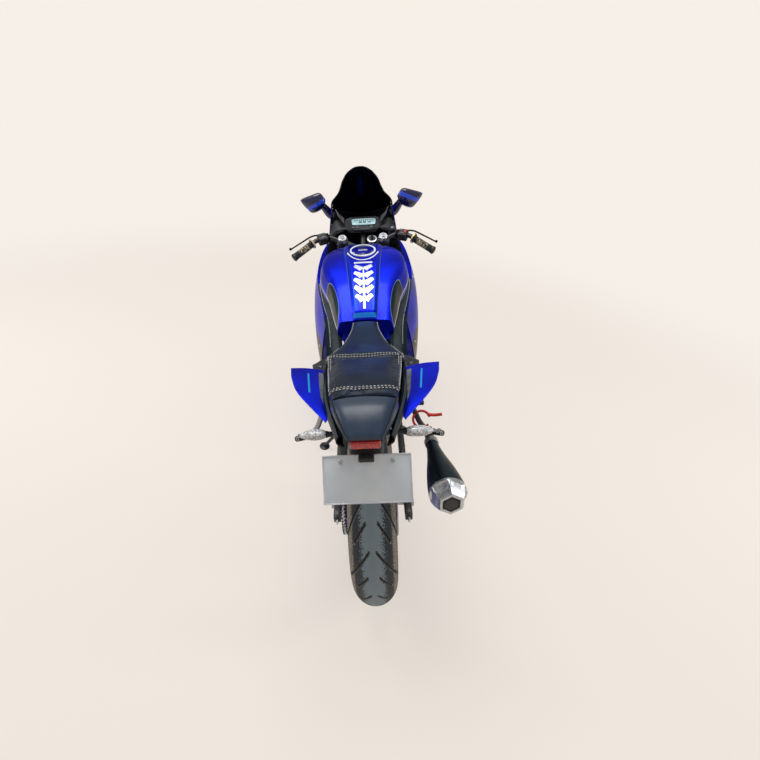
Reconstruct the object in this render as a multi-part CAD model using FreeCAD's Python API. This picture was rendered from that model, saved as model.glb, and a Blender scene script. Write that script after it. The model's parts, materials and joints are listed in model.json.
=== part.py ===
import FreeCAD, Part
import math
import os

# A small faired sport bike, parked on its side stand. It is modelled upright and then leaned over.
# In the upright frame X points right, Y forward and Z up, with the rear axle above the origin.
# Lengths are in millimetres and angles in degrees.

# Wheels and steering
ring_sides = 30
wheelbase = 1325.0
rim_radius = 222.0
rear_tyre_height = 92.0
rear_tyre_width = 144.0
rear_crown_radius = 72.0
front_tyre_height = 74.0
front_tyre_width = 104.0
front_crown_radius = 54.0
rim_depth = 20.0
rear_rim_width = 112.0
front_rim_width = 82.0
hub_radius = 34.0
hub_share = 0.62
hub_sides = 10
spoke_count = 10
rake_angle = 25.5
trail = 88.0
fork_spacing = 97.0
steering_limit = 30.0
lean_angle = 9.0

# Chain drive
chain_pitch = 12.7
chain_x = -96.0
chain_outer_width = 17.0
chain_inner_width = 11.5
chain_height = 11.0
chain_clearance = 0.4
rear_sprocket_teeth = 48
front_sprocket_teeth = 14
front_sprocket_y = 520.0
front_sprocket_z = 352.0
sprocket_thickness = 6.0

# Brakes
front_disc_radius = 141.0
rear_disc_radius = 110.0
disc_band = 34.0
disc_thickness = 4.0
rear_disc_x = 80.0
pad_gap = 1.0
caliper_gap = 7.0

# Chassis
pivot_y = 462.0
pivot_z = 352.0
pivot_radius = 8.0
arm_x = 110.0
arm_width = 26.0
arm_height = 52.0
axle_radius = 7.5
spool_radius = 4.0
spool_depth = 16.0
spool_y = 70.0
spool_z = 312.0
plate_x = 54.0
plate_thickness = 14.0
spar_width = 26.0
spar_height = 62.0
rail_radius = 11.0
brace_radius = 9.0
head_radius = 29.0
stem_radius = 14.0
stem_bore_radius = 9.0
stem_bore_depth = 25.0
running_gap = 0.1

# Forks and bars, measured up along the steering axis from the floor
fork_tube_radius = 18.5
fork_leg_radius = 25.0
fork_leg_top_up = 585.0
lower_yoke_up = 838.0
yoke_spacing = 142.0
yoke_thickness = 22.0
head_gap = 18.0
bar_rise = 30.0
bar_radius = 11.0
bar_elbow = (165.0, 1030.0, 955.0)
bar_bend = (222.0, 1003.0, 950.0)
bar_tip = (326.0, 922.0, 900.0)
grip_radius = 16.5
grip_length = 118.0

# Bodywork
sheet = 4.0
screen_sheet = 3.0
tank_front_y = 940.0
tank_rear_y = 470.0
tank_half_width = 189.0
tank_top_z = 956.0
cap_radius = 46.0
seat_front_y = 470.0
seat_rear_y = 126.0
seat_half_width = 130.0
pillion_front_y = 110.0
pillion_rear_y = -150.0
tail_rear_y = -250.0
wing_thickness = 7.0

# Muffler
pipe_radius = 17.0
muffler_radius = 55.0
muffler_sides = 14
muffler_end_length = 42.0
muffler_tip = (224.0, -185.0, 556.0)
muffler_front = (213.0, 108.0, 503.0)

# Side stand
stand_pivot = (-122.0, 505.0, 232.0)
stand_foot_x = -248.0
stand_foot_y = 545.0
stand_radius = 9.0
stand_foot_thickness = 8.0
stand_eye_half = 9.0
stand_pin_radius = 5.0
stand_fold_angle = 92.0

# Number plate
plate_width = 205.0
plate_height = 112.0
plate_sheet = 2.0
plate_hole_radius = 3.5
plate_tilt = 38.0
plate_centre = (0.0, -258.0, 772.0)
indicator_root = (96.0, -150.0, 812.0)


def vec(x, y, z):
    return FreeCAD.Vector(x, y, z)


X = vec(1, 0, 0)
Y = vec(0, 1, 0)
Z = vec(0, 0, 1)
ORIGIN = vec(0, 0, 0)
RAKE = math.radians(rake_angle)
rear_tyre_radius = rim_radius + rear_tyre_height
front_tyre_radius = rim_radius + front_tyre_height
STEER_UP = vec(0, -math.sin(RAKE), math.cos(RAKE))
STEER_FORWARD = vec(0, math.cos(RAKE), math.sin(RAKE))
STEER_GROUND = vec(0, wheelbase + trail, 0)
REAR_AXLE = vec(0, 0, rear_tyre_radius)
FRONT_AXLE = vec(0, wheelbase, front_tyre_radius)
fork_offset = (FRONT_AXLE - STEER_GROUND).dot(STEER_FORWARD)
axle_up = (FRONT_AXLE - STEER_GROUND).dot(STEER_UP)
upper_yoke_up = lower_yoke_up + yoke_spacing
head_low = lower_yoke_up + yoke_thickness / 2 + head_gap - 1
head_high = upper_yoke_up - head_gap
bar_up = upper_yoke_up + bar_rise
fork_top_up = bar_up + 22


def fork_point(x, forward, up):
    """A point given in the steering's own frame: across, ahead of the axis, and up along it."""
    return STEER_GROUND + X * x + STEER_FORWARD * forward + STEER_UP * up


def fuse(shapes):
    first = shapes[0]
    return first.fuse(shapes[1:]).removeSplitter() if len(shapes) > 1 else first


def mirrored(shape):
    return shape.mirror(ORIGIN, X)


def pair(shape):
    return [shape, mirrored(shape)]


def cylinder(radius, start, end):
    along = end - start
    return Part.makeCylinder(radius, along.Length, start, along)


def block(x, y, z, dx, dy, dz):
    """A box centred on x, y, z."""
    return Part.makeBox(dx, dy, dz, vec(x - dx / 2, y - dy / 2, z - dz / 2))


def face_of(points):
    return Part.Face(Part.makePolygon(points + [points[0]]))


def prism(points, along):
    """A flat outline pushed along a vector."""
    return face_of([vec(*p) for p in points]).extrude(along)


def side_plate(outline, x, thickness):
    """An outline of (y, z) points, pushed across from x."""
    return prism([(x, y, z) for y, z in outline], X * thickness)


def trimmed(shape, *others):
    """What is left of a shape beside its neighbours; crumbs beyond them are dropped."""
    for other in others:
        shape = shape.cut(other)
    return max(shape.Solids, key=lambda solid: solid.Volume)


def solid_of(faces):
    solid = Part.Solid(Part.makeShell(faces))
    if solid.Volume < 0:
        solid.reverse()
    return solid.removeSplitter()


def strip(first, second):
    """Flat facets between two rows of points."""
    faces = []
    for a, b, c, d in zip(first, first[1:], second[1:], second):
        if (c - a).Length < (d - b).Length:
            halves = ([a, b, c], [a, c, d])
        else:
            halves = ([a, b, d], [b, c, d])
        for corners in halves:
            if (corners[1] - corners[0]).cross(corners[2] - corners[0]).Length > 1e-6:
                faces.append(face_of(corners))
    return faces


def closed(points):
    return points + [points[0]]


def skin(sections):
    """A solid through flat closed outlines, each joined to the next by flat facets."""
    loops = [[vec(*p) for p in s] for s in sections]
    faces = [face_of(loops[0]), face_of(loops[-1])]
    for a, b in zip(loops, loops[1:]):
        faces += strip(closed(a), closed(b))
    return solid_of(faces)


def panel(rows, thickness, inside):
    """A thin curved sheet: rows of points on its outer side, thickened towards a point inside."""
    outer = [[vec(*p) for p in row] for row in rows]
    last_row = len(outer) - 1
    last_column = len(outer[0]) - 1
    inner = []
    for i in range(last_row + 1):
        inner_row = []
        for j in range(last_column + 1):
            p = outer[i][j]
            down = outer[min(i + 1, last_row)][j] - outer[max(i - 1, 0)][j]
            across = outer[i][min(j + 1, last_column)] - outer[i][max(j - 1, 0)]
            normal = down.cross(across).normalize()
            if normal.dot(vec(*inside) - p) < 0:
                normal = -normal
            inner_row.append(p + normal * thickness)
        inner.append(inner_row)
    faces = []
    for i in range(last_row):
        faces += strip(outer[i], outer[i + 1])
        faces += strip(inner[i], inner[i + 1])
    faces += strip(outer[0], inner[0])
    faces += strip(outer[-1], inner[-1])
    faces += strip([r[0] for r in outer], [r[0] for r in inner])
    faces += strip([r[-1] for r in outer], [r[-1] for r in inner])
    return solid_of(faces)


def across(half_row):
    """A row given from the middle to the right, completed to the left."""
    left = [(-x, y, z) for x, y, z in reversed(half_row[1:])]
    return left + half_row


def ring(centre, axis, radius, sides, phase=0.0):
    """The corners of a regular polygon about an axis."""
    side = axis.cross(X if abs(axis.dot(X)) < 0.9 * axis.Length else Y).normalize()
    other = axis.cross(side).normalize()
    corners = []
    for i in range(sides):
        a = 2 * math.pi * (i + phase) / sides
        corners.append(tuple(centre + side * (radius * math.cos(a)) + other * (radius * math.sin(a))))
    return corners


def rod(start, end, radius, sides=10):
    """A straight bar of round stock, drawn with flats."""
    axis = end - start
    return skin([ring(start, axis, radius, sides), ring(end, axis, radius, sides)])


def hole(start, end, radius, sides=12):
    """A cutter for a hole with flats, each of them a radius away from the axis."""
    return rod(start, end, radius / math.cos(math.pi / sides), sides)


def bent_rod(points, radius, sides=8):
    """Round stock along a bent path, mitred at each point."""
    pts = [vec(*p) for p in points]
    first = pts[1] - pts[0]
    corners = [vec(*c) for c in ring(pts[0], first, radius, sides)]
    loops = [corners]
    for i in range(1, len(pts)):
        along = (pts[i] - pts[i - 1]).normalize()
        ahead = (pts[i + 1] - pts[i]).normalize() if i + 1 < len(pts) else along
        cut = (along + ahead).normalize()
        moved = []
        for c in loops[-1]:
            reach = (pts[i] - c).dot(cut) / along.dot(cut)
            moved.append(c + along * reach)
        loops.append(moved)
    return skin([[tuple(c) for c in loop] for loop in loops])


def turned(profile, centre, sides=ring_sides):
    """A ring about an axle, turned in flats: profile is a closed row of (x, radius) points."""
    loops = []
    for x, r in profile:
        loop = []
        for i in range(sides):
            a = 2 * math.pi * i / sides
            loop.append(centre + vec(x, r * math.sin(a), r * math.cos(a)))
        loops.append(loop)
    faces = []
    for a, b in zip(loops, loops[1:] + [loops[0]]):
        faces += strip(closed(a), closed(b))
    return solid_of(faces)


def flat_ring(x, thickness, outer, inner, centre, sides=ring_sides):
    return turned([(x, inner), (x + thickness, inner), (x + thickness, outer), (x, outer)],
                  centre, sides)


def tyre(radius, width, crown, centre):
    """A tyre with a round crown: chords of the crown's arc, a shoulder and a bead."""
    half = width / 2
    middle = radius - crown
    right = []
    for angle in (15, 40, 62):
        a = math.radians(angle)
        right.append((crown * math.sin(a), middle + crown * math.cos(a)))
    right += [(half, middle + crown * 0.2), (half * 0.8, rim_radius)]
    left = [(-x, r) for x, r in reversed(right)]
    return turned(right + left, centre)


def rim(width, centre):
    """A cast wheel: the barrel, the hub and tapered spokes between them."""
    half = width / 2
    barrel = flat_ring(-half, width, rim_radius, rim_radius - rim_depth, centre)
    hub_half = half * hub_share
    bore = (axle_radius + running_gap) / math.cos(math.pi / hub_sides)
    hub = flat_ring(-hub_half, 2 * hub_half, hub_radius, bore, centre, hub_sides)
    spokes = []
    for i in range(spoke_count):
        inner = hub_radius - 4
        outer = rim_radius - rim_depth / 2
        spoke = skin([
            [(-14, -12, inner), (14, -12, inner), (14, 12, inner), (-14, 12, inner)],
            [(-9, -7, outer), (9, -7, outer), (9, 7, outer), (-9, 7, outer)]])
        spokes.append(spoke.rotated(ORIGIN, X, 360.0 * (i + 0.5) / spoke_count).translated(centre))
    return fuse([barrel, hub] + spokes)


def disc(radius, x, centre):
    """A brake disc with its carrier arms down to the hub."""
    brake_ring = flat_ring(x, disc_thickness, radius, radius - disc_band, centre)
    carrier = flat_ring(x, disc_thickness, hub_radius + 8, axle_radius + 4, centre, hub_sides)
    arms = []
    for i in range(5):
        reach = radius - disc_band - hub_radius
        arm = block(x + disc_thickness / 2, 0, hub_radius + reach / 2,
                    disc_thickness, 16, reach + 8)
        arms.append(arm.rotated(ORIGIN, X, 72.0 * i).translated(centre))
    return fuse([brake_ring, carrier] + arms)


def sprocket_radius(teeth):
    return chain_pitch / (2 * math.sin(math.pi / teeth))


def chain_inside(teeth):
    """The radius just clear of the links where the chain bends round a sprocket."""
    flat = (sprocket_radius(teeth) - chain_height / 2) * math.cos(math.pi / teeth)
    return flat - chain_clearance


def hub_face(width):
    """How far a hub's flat face lies from the wheel's middle."""
    return width / 2 * hub_share


def front_wheel():
    disc_x = -hub_face(front_rim_width) - disc_thickness
    return {
        "front_tyre": [tyre(front_tyre_radius, front_tyre_width, front_crown_radius, FRONT_AXLE)],
        "front_rim": [rim(front_rim_width, FRONT_AXLE)],
        "front_disc": [disc(front_disc_radius, disc_x, FRONT_AXLE)],
    }


def rear_sprocket():
    """The toothed ring under the chain, with its carrier in to the hub."""
    tip = chain_inside(rear_sprocket_teeth)
    root = tip - 4
    left = chain_x - sprocket_thickness / 2
    points = []
    for i in range(rear_sprocket_teeth):
        a = 2 * math.pi * i / rear_sprocket_teeth
        b = 2 * math.pi * (i + 0.5) / rear_sprocket_teeth
        points.append((left, tip * math.sin(a), tip * math.cos(a)))
        points.append((left, root * math.sin(b), root * math.cos(b)))
    plate = prism(points, X * sprocket_thickness)
    bore = rod(vec(-200, 0, 0), vec(0, 0, 0), axle_radius + 4, hub_sides)
    plate = plate.cut(bore)
    carrier = flat_ring(left, -hub_face(rear_rim_width) - left, 48, axle_radius + 4, ORIGIN, hub_sides)
    return fuse([plate, carrier]).translated(REAR_AXLE)


def rear_disc():
    """The rear disc on a boss that stands off the hub."""
    face = hub_face(rear_rim_width)
    boss = flat_ring(face, rear_disc_x - face, hub_radius, axle_radius + 4, REAR_AXLE, hub_sides)
    return fuse([disc(rear_disc_radius, rear_disc_x, REAR_AXLE), boss])


def rear_wheel():
    return {
        "rear_tyre": [tyre(rear_tyre_radius, rear_tyre_width, rear_crown_radius, REAR_AXLE)],
        "rear_rim": [rim(rear_rim_width, REAR_AXLE)],
        "rear_disc": [rear_disc()],
        "rear_sprocket": [rear_sprocket()],
    }


def chain_route():
    """Pin places on two sprocket arcs and the two straight runs, each with its heading."""
    front = vec(0, front_sprocket_y, front_sprocket_z)
    big = sprocket_radius(rear_sprocket_teeth)
    small = sprocket_radius(front_sprocket_teeth)
    span = front - REAR_AXLE
    tilt = math.atan2(span.z, span.y)
    spread = math.acos((big - small) / span.Length)
    run = math.sqrt(span.Length ** 2 - (big - small) ** 2)
    small_arc = small * 2 * spread
    big_arc = big * (2 * math.pi - 2 * spread)
    total = 2 * run + small_arc + big_arc
    links = 2 * round(total / chain_pitch / 2)

    def place(s):
        if s < small_arc:
            a = tilt - spread + s / small
            return front.y + small * math.cos(a), front.z + small * math.sin(a), a
        s -= small_arc
        if s < run:
            a = tilt + spread
            y = front.y + small * math.cos(a) - s * math.sin(a)
            z = front.z + small * math.sin(a) + s * math.cos(a)
            return y, z, a
        s -= run
        if s < big_arc:
            a = tilt + spread + s / big
            return big * math.cos(a), REAR_AXLE.z + big * math.sin(a), a
        s -= big_arc
        a = tilt - spread
        y = big * math.cos(a) - s * math.sin(a)
        z = REAR_AXLE.z + big * math.sin(a) + s * math.cos(a)
        return y, z, a

    return [place(i * total / links) for i in range(links)]


def chain():
    """One closed loop of links, wide and narrow in turn, joined at the pins."""
    half = chain_height / 2
    outer = []
    inner = []
    for y, z, a in chain_route():
        outer.append((y + half * math.cos(a), z + half * math.sin(a)))
        inner.append((y - half * math.cos(a), z - half * math.sin(a)))
    count = len(outer)
    links = []
    for i in range(count):
        j = (i + 1) % count
        width = chain_outer_width if i % 2 else chain_inner_width
        links.append(side_plate([outer[i], outer[j], inner[j], inner[i]], chain_x - width / 2, width))
    return links[0].fuse(links[1:])


def engine():
    """The plain block of the crankcase and cylinder, with the output shaft and its sprocket."""
    case = side_plate([(560, 236), (800, 228), (896, 300), (896, 410), (760, 470), (560, 462)],
                      -116, 232)
    barrel = side_plate([(700, 440), (880, 400), (922, 560), (890, 640), (790, 650)], -84, 168)
    neck = side_plate([(506, 330), (562, 300), (562, 440), (506, 440)], -44, 88)
    start = vec(-43, front_sprocket_y, front_sprocket_z)
    face = vec(chain_x - sprocket_thickness / 2, front_sprocket_y, front_sprocket_z)
    shaft = rod(start, face, 9)
    sprocket = rod(face, face + X * sprocket_thickness, chain_inside(front_sprocket_teeth), 14)
    return fuse([case, barrel, neck, shaft, sprocket])


def frame():
    """Head tube, two pressed spars, pivot plates, engine hangers and the bosses for the bodywork."""
    head = rod(fork_point(0, 0, head_low), fork_point(0, 0, head_high), head_radius)
    bore = hole(fork_point(0, 0, head_low - 1), fork_point(0, 0, head_high + 1),
                stem_radius + running_gap, 16)

    def spar_section(x, y, z):
        h = spar_height / 2
        return [(x, y, z - h), (x + spar_width, y, z - h), (x + spar_width, y, z + h), (x, y, z + h)]

    spar = skin([spar_section(4, 1004, 816), spar_section(84, 890, 745),
                 spar_section(86, 700, 620), spar_section(plate_x - 4, 500, 530)])
    plate = side_plate([(428, 545), (545, 560), (545, 470), (496, 425), (496, 250),
                        (440, 250), (428, 330)], plate_x, plate_thickness)
    hanger = side_plate([(700, 600), (790, 640), (770, 540), (735, 540)], 84, 14)
    tank_post = block(76, 740, 702, 20, 30, 100)
    boss = rod(vec(98, 880, 735), vec(247, 905, 706), 9, 8)
    side = [spar, plate, hanger, tank_post, boss]
    bridges = [rod(vec(-plate_x - 2, 470, z), vec(plate_x + 2, 470, z), r)
               for z, r in ((275, 12), (520, 14))]
    parts = [head] + side + [mirrored(s) for s in side] + bridges + [stand_lug()]
    return fuse(parts).cut(bore).cut(pivot_shaft(200))


def stand_lug():
    """The lug on the left pivot plate that carries the side stand, with its pin."""
    pivot = vec(*stand_pivot)
    axis = side_stand_axis()
    lug = rod(pivot - axis * (stand_eye_half + 10), pivot - axis * (stand_eye_half + running_gap), 17)
    arm = rod(vec(-60, 468, 268), pivot - axis * (stand_eye_half + 13), 8, 8)
    pin = cylinder(stand_pin_radius, pivot - axis * (stand_eye_half + 5),
                   pivot + axis * (stand_eye_half + 2))
    pin_head = hexagon(9, pivot + axis * (stand_eye_half + running_gap), axis * 5)
    return fuse([lug, arm, pin, pin_head])


def subframe():
    """The seat rails, their braces, the cross bars and the posts under the passenger pad."""
    rail = bent_rod([(62, 500, 540), (76, 320, 680), (72, 120, 745), (56, -130, 826)], rail_radius)
    brace = bent_rod([(61, 456, 540), (72, 250, 640), (58, -40, 786)], brace_radius)
    pad_post = block(52, -40, 826, 16, 24, 64)
    side = [rail, brace, pad_post]
    bars = [rod(vec(-x, y, z), vec(x, y, z), r, 8) for x, y, z, r in ((58, -136, 828, 8), (72, 140, 758, 10))]
    return fuse(side + [mirrored(s) for s in side] + bars)


def cowl_stay():
    """The bar from the head tube that carries the instrument and the nose."""
    end = fork_point(0, 225, head_high + 3)
    return fuse([rod(fork_point(0, 20, head_high - 40), end, 13),
                 rod(end - X * 167, end + X * 167, 10)])


def pivot_shaft(reach):
    """The shaft the swingarm turns on, through the frame's plates and both arms."""
    return rod(vec(-reach, pivot_y, pivot_z), vec(reach, pivot_y, pivot_z), pivot_radius)


def spindle(axle, reach):
    """A wheel's spindle, reaching as far to each side of its axle."""
    return rod(axle - X * reach, axle + X * reach, axle_radius)


def swingarm():
    """Two box arms outside the chain, a bridge ahead of the tyre and the pivot shaft."""
    w = arm_width

    def arm_section(y, z, h):
        return [(arm_x, y, z - h / 2), (arm_x + w, y, z - h / 2),
                (arm_x + w, y, z + h / 2), (arm_x, y, z + h / 2)]

    arm = skin([arm_section(490, pivot_z, 40), arm_section(380, 352, arm_height),
                arm_section(40, REAR_AXLE.z + 2, 48), arm_section(-62, REAR_AXLE.z, 34)])
    bridge = block(0, 392, 345, 2 * arm_x + 4, 44, 34)
    whole = fuse([arm, mirrored(arm), bridge, pivot_shaft(arm_x + w + 6)])
    whole = whole.cut(spindle(REAR_AXLE, 200))
    for side in (-1, 1):
        mouth = vec(side * (arm_x + w + 1), spool_y, spool_z)
        whole = whole.cut(cylinder(spool_radius, mouth, mouth - X * side * (spool_depth + 1)))
    return whole


def hexagon(radius, start, along):
    return skin([ring(start, along, radius, 6), ring(start + along, along, radius, 6)])


def rear_axle():
    """The spindle with its nuts outside the arms."""
    reach = arm_x + arm_width
    nut = hexagon(13, REAR_AXLE + X * reach, X * 10)
    return fuse([spindle(REAR_AXLE, reach + 14), nut, mirrored(nut)])


def shock():
    """The damper with its spring coils as stacked rings, from the swingarm's bridge to the frame."""
    low = vec(0, 396, 356)
    high = vec(0, 470, 520)
    along = (high - low).normalize()
    parts = [rod(low, high, 13, 8)]
    for i in range(5):
        start = low + along * (38 + i * 20)
        parts.append(rod(start, start + along * 10, 27, 8))
    return fuse(parts)


def tank_section(y, low, high, half, top_half):
    mid = low + (high - low) * 0.42
    upper = low + (high - low) * 0.8
    return [(-half * 0.7, y, low), (half * 0.7, y, low), (half, y, mid),
            (half * 0.9, y, upper), (top_half, y, high), (-top_half, y, high),
            (-half * 0.9, y, upper), (-half, y, mid)]


def fuel_tank():
    """Broad shoulders ahead, narrow between the knees, sloping down to the seat."""
    w = tank_half_width
    return skin([
        tank_section(tank_rear_y, 700, 800, w * 0.58, 46),
        tank_section(540, 700, 842, w * 0.67, 52),
        tank_section(640, 712, 896, w * 0.8, 61),
        tank_section(740, 745, 934, w, 70),
        tank_section(820, 790, tank_top_z, w * 0.98, 78),
        tank_section(885, 840, 953, w * 0.76, 82),
        tank_section(tank_front_y, 880, 940, w * 0.44, 72)])


def tank_cap():
    """The round cap, let into the tank's crown."""
    base = vec(0, 816, 950)
    tilt = vec(0, -0.2, 1).normalize()
    return rod(base, base + tilt * 10, cap_radius, 32)


def seat_section(y, low, high, half, round_down):
    return [(-half, y, low), (half, y, low), (half, y, high - round_down),
            (half * 0.8, y, high - round_down * 0.3), (half * 0.4, y, high),
            (-half * 0.4, y, high), (-half * 0.8, y, high - round_down * 0.3),
            (-half, y, high - round_down)]


def rider_seat():
    """A narrow nose behind the tank that spreads to a broad rolled rear edge."""
    return skin([seat_section(seat_front_y, 745, 800, 54, 16), seat_section(400, 745, 806, 60, 18),
                 seat_section(310, 748, 812, 82, 20), seat_section(240, 752, 822, 112, 20),
                 seat_section(170, 758, 842, seat_half_width, 18),
                 seat_section(seat_rear_y, 768, 850, seat_half_width - 3, 20)])


def seat_wing():
    """The dark flap that flares out from under the rear corner of the rider's seat."""
    return panel([[(116, 232, 786), (118, 180, 792), (118, 136, 800)],
                  [(164, 204, 786), (172, 182, 796), (160, 140, 808)]], 6, (120, 180, 700))


def pillion_seat():
    """The raised passenger pad, tapering to the tail."""
    return skin([seat_section(pillion_front_y, 838, 864, 112, 12), seat_section(0, 846, 902, 102, 14),
                 seat_section(-100, 862, 928, 88, 16), seat_section(pillion_rear_y, 874, 932, 78, 22)])


def tail_cover():
    """The glossy hump behind the passenger pad."""
    return skin([seat_section(pillion_rear_y, 874, 926, 76, 18), seat_section(-205, 878, 916, 58, 16),
                 seat_section(tail_rear_y, 886, 899, 40, 6)])


def tail_side():
    """One side panel of the tail, from under the rider seat back to the lamp."""
    rows = [
        [(58, 440, 742), (96, 300, 744), (122, 168, 752), (122, 116, 836), (100, -80, 868),
         (62, -232, 880)],
        [(72, 430, 712), (120, 290, 714), (138, 165, 724), (136, 100, 800), (108, -80, 846),
         (64, -236, 866)],
        [(86, 400, 676), (118, 280, 678), (124, 160, 692), (112, 80, 760), (88, -80, 806),
         (50, -230, 846)]]
    return panel(rows, sheet, (0, 100, 780))


def tail_wing():
    """The winglet on the tail's side: a thin blade swept back along the tail."""
    return panel([[(118, 66, 854), (112, 10, 854), (104, -60, 853), (88, -128, 851)],
                  [(208, 56, 874), (199, 12, 873), (172, -52, 869), (96, -146, 852)]],
                 wing_thickness, (110, 0, 700))


def tail_light():
    return skin([[(-36, -212, 856), (36, -212, 856), (36, -212, 876), (-36, -212, 876)],
                 [(-34, -236, 856), (34, -236, 856), (34, -234, 883), (-34, -234, 883)],
                 [(-24, -250, 860), (24, -250, 860), (24, -247, 880), (-24, -247, 880)]])


def rear_fender():
    """The plate holder that hangs from the tail, with the stalks of the indicators."""
    _, centre_y, centre_z = plate_centre
    tilt = math.radians(plate_tilt)
    high_y = centre_y + 50 * math.sin(tilt)
    high_z = centre_z + 50 * math.cos(tilt)
    low_y = centre_y - 30 * math.sin(tilt)
    low_z = centre_z - 30 * math.cos(tilt)
    arm = skin([[(-40, -130, 818), (40, -130, 818), (40, -150, 846), (-40, -150, 846)],
                [(-36, -196, 786), (36, -196, 786), (36, high_y, high_z), (-36, high_y, high_z)],
                [(-40, -250, 736), (40, -250, 736), (40, low_y, low_z), (-40, low_y, low_z)]])
    stalk_end = vec(*indicator_root)
    stalk = rod(vec(-stalk_end.x, stalk_end.y, stalk_end.z), stalk_end, 8)
    return fuse([arm, stalk])


def number_plate():
    """A blank sheet with two screw holes, tilted to face up and back."""
    blank = block(0, -plate_sheet / 2, 0, plate_width, plate_sheet, plate_height)
    for x in (-60, 60):
        blank = blank.cut(cylinder(plate_hole_radius, vec(x, -5, 40), vec(x, 5, 40)))
    return blank.rotated(ORIGIN, X, -plate_tilt).translated(vec(*plate_centre))


def rear_indicator():
    """A long clear lamp on the end of its stalk."""
    x, y, z = indicator_root

    def oval(along, y_half, z_half):
        loop = []
        for i in range(10):
            a = 2 * math.pi * i / 10
            loop.append((x + along, y + y_half * math.cos(a), z + z_half * math.sin(a)))
        return loop

    return skin([oval(0, 6, 6), oval(10, 13, 10), oval(34, 16, 12), oval(58, 12, 9),
                 oval(70, 4, 4)])


FAIRING_ROWS = [
    [(183, 1189, 892), (210, 1070, 866), (224, 930, 822), (208, 790, 775), (168, 640, 735)],
    [(205, 1189, 812), (238, 1070, 772), (250, 920, 712), (238, 770, 655), (198, 610, 605)],
    [(196, 1150, 690), (234, 1040, 640), (250, 900, 590), (242, 750, 530), (212, 592, 490)],
    [(184, 1060, 480), (214, 1000, 450), (226, 880, 420), (222, 750, 385), (200, 620, 350)],
    [(150, 985, 226), (160, 950, 224), (166, 865, 222), (163, 765, 220), (150, 662, 218)]]


def side_fairing():
    """One side of the fairing: a bowed sheet from the cowl back to the knee and down to the belly."""
    return panel(FAIRING_ROWS, sheet, (0, 900, 500))


def knee_panel():
    """The dark panel between the tank and the fairing that runs back under the seat's edge."""
    return panel([
        [(150, 850, 826), (150, 770, 800), (140, 690, 770), (122, 610, 742), (100, 500, 728),
         (92, 400, 724), (98, 330, 720)],
        [(218, 850, 796), (203, 770, 768), (184, 690, 744), (164, 610, 716), (154, 500, 684),
         (150, 400, 668), (150, 330, 672)]], 3, (100, 600, 500))


def belly_pan():
    """The pan under the engine that joins the two sides."""
    rows = []
    for x, y, z in FAIRING_ROWS[-1]:
        rows.append([(-x, y, z), (-x * 0.86, y, 176), (-x * 0.5, y, 156), (x * 0.5, y, 156),
                     (x * 0.86, y, 176), (x, y, z)])
    return panel(rows, sheet, (0, 850, 500))


def screen_row(centre_y, centre_z, side_x, side_y, side_z):
    """One curve of the windscreen, from its middle round to its right edge."""
    row = []
    for angle in (0, 22, 45, 68, 90):
        a = math.radians(angle)
        row.append((side_x * math.sin(a), side_y + (centre_y - side_y) * math.cos(a),
                    side_z + (centre_z - side_z) * math.cos(a)))
    return across(row)


COWL_TOP = (1425, 956, 154, 1200, 1046)


def nose_cowl():
    """The pointed nose, open behind, from the lip over the wheel to the foot of the windscreen."""
    rows = [
        across([(0, 1470, 764), (45, 1452, 762), (100, 1376, 752), (148, 1276, 746), (176, 1186, 744)]),
        across([(0, 1545, 812), (52, 1514, 812), (120, 1410, 812), (180, 1290, 812), (204, 1186, 812)]),
        across([(0, 1524, 868), (50, 1490, 872), (112, 1404, 884), (164, 1290, 898), (182, 1186, 892)]),
        screen_row(*COWL_TOP)]
    return panel(rows, sheet, (0, 1200, 860))


def headlamp():
    """A slanted lens let into the nose between its two creases."""
    rows = [[(50, 1512, 822), (118, 1412, 820), (160, 1332, 818)],
            [(49, 1494, 860), (112, 1406, 872), (152, 1324, 884)]]
    return panel(rows, 14, (0, 1200, 840))


def windscreen():
    """A tall dark bubble that narrows to a rounded top and flares at its foot."""
    rows = [screen_row(*COWL_TOP), screen_row(1392, 1010, 146, 1196, 1080),
            screen_row(1346, 1070, 114, 1190, 1114), screen_row(1292, 1130, 97, 1184, 1144),
            screen_row(1240, 1180, 84, 1176, 1174), screen_row(1196, 1214, 60, 1168, 1205),
            screen_row(1162, 1232, 26, 1160, 1228)]
    return panel(rows, screen_sheet, (0, 1150, 1000))


def mirror():
    """A swept mirror head on its stalk from the cowl."""
    def head_section(x, y, z, depth, height):
        return [(x, y - depth * 0.2, z + height), (x, y + depth, z + height * 0.6),
                (x, y + depth, z - height * 0.5), (x, y - depth * 0.2, z - height)]

    head = skin([head_section(176, 1196, 1076, 34, 30), head_section(200, 1192, 1080, 46, 36),
                 head_section(258, 1186, 1080, 40, 30), head_section(298, 1182, 1090, 18, 12)])
    stalk = bent_rod([(206, 1222, 1064), (176, 1238, 1018), (146, 1240, 1008)], 9)
    return fuse([head, stalk])


def dash():
    """The instrument: a wedge with its face towards the rider."""
    return skin([[(-80, 1116, 944), (80, 1116, 944), (84, 1118, 957), (-84, 1118, 957)],
                 [(-92, 1196, 960), (92, 1196, 960), (90, 1200, 1003), (-90, 1200, 1003)]])


def cockpit_panel():
    """One inner panel that closes the gap from the cowl's edge to the instrument."""
    rows = [[(80, 1140, 962), (140, 1144, 950), (182, 1136, 890)],
            [(84, 1200, 990), (150, 1200, 984), (184, 1192, 896)]]
    return panel(rows, 3, (0, 1100, 800))


def radiator():
    core = block(0, 972, 520, 270, 28, 210)
    bracket = block(0, 930, 608, 60, 64, 24)
    return fuse([core, bracket])


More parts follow.
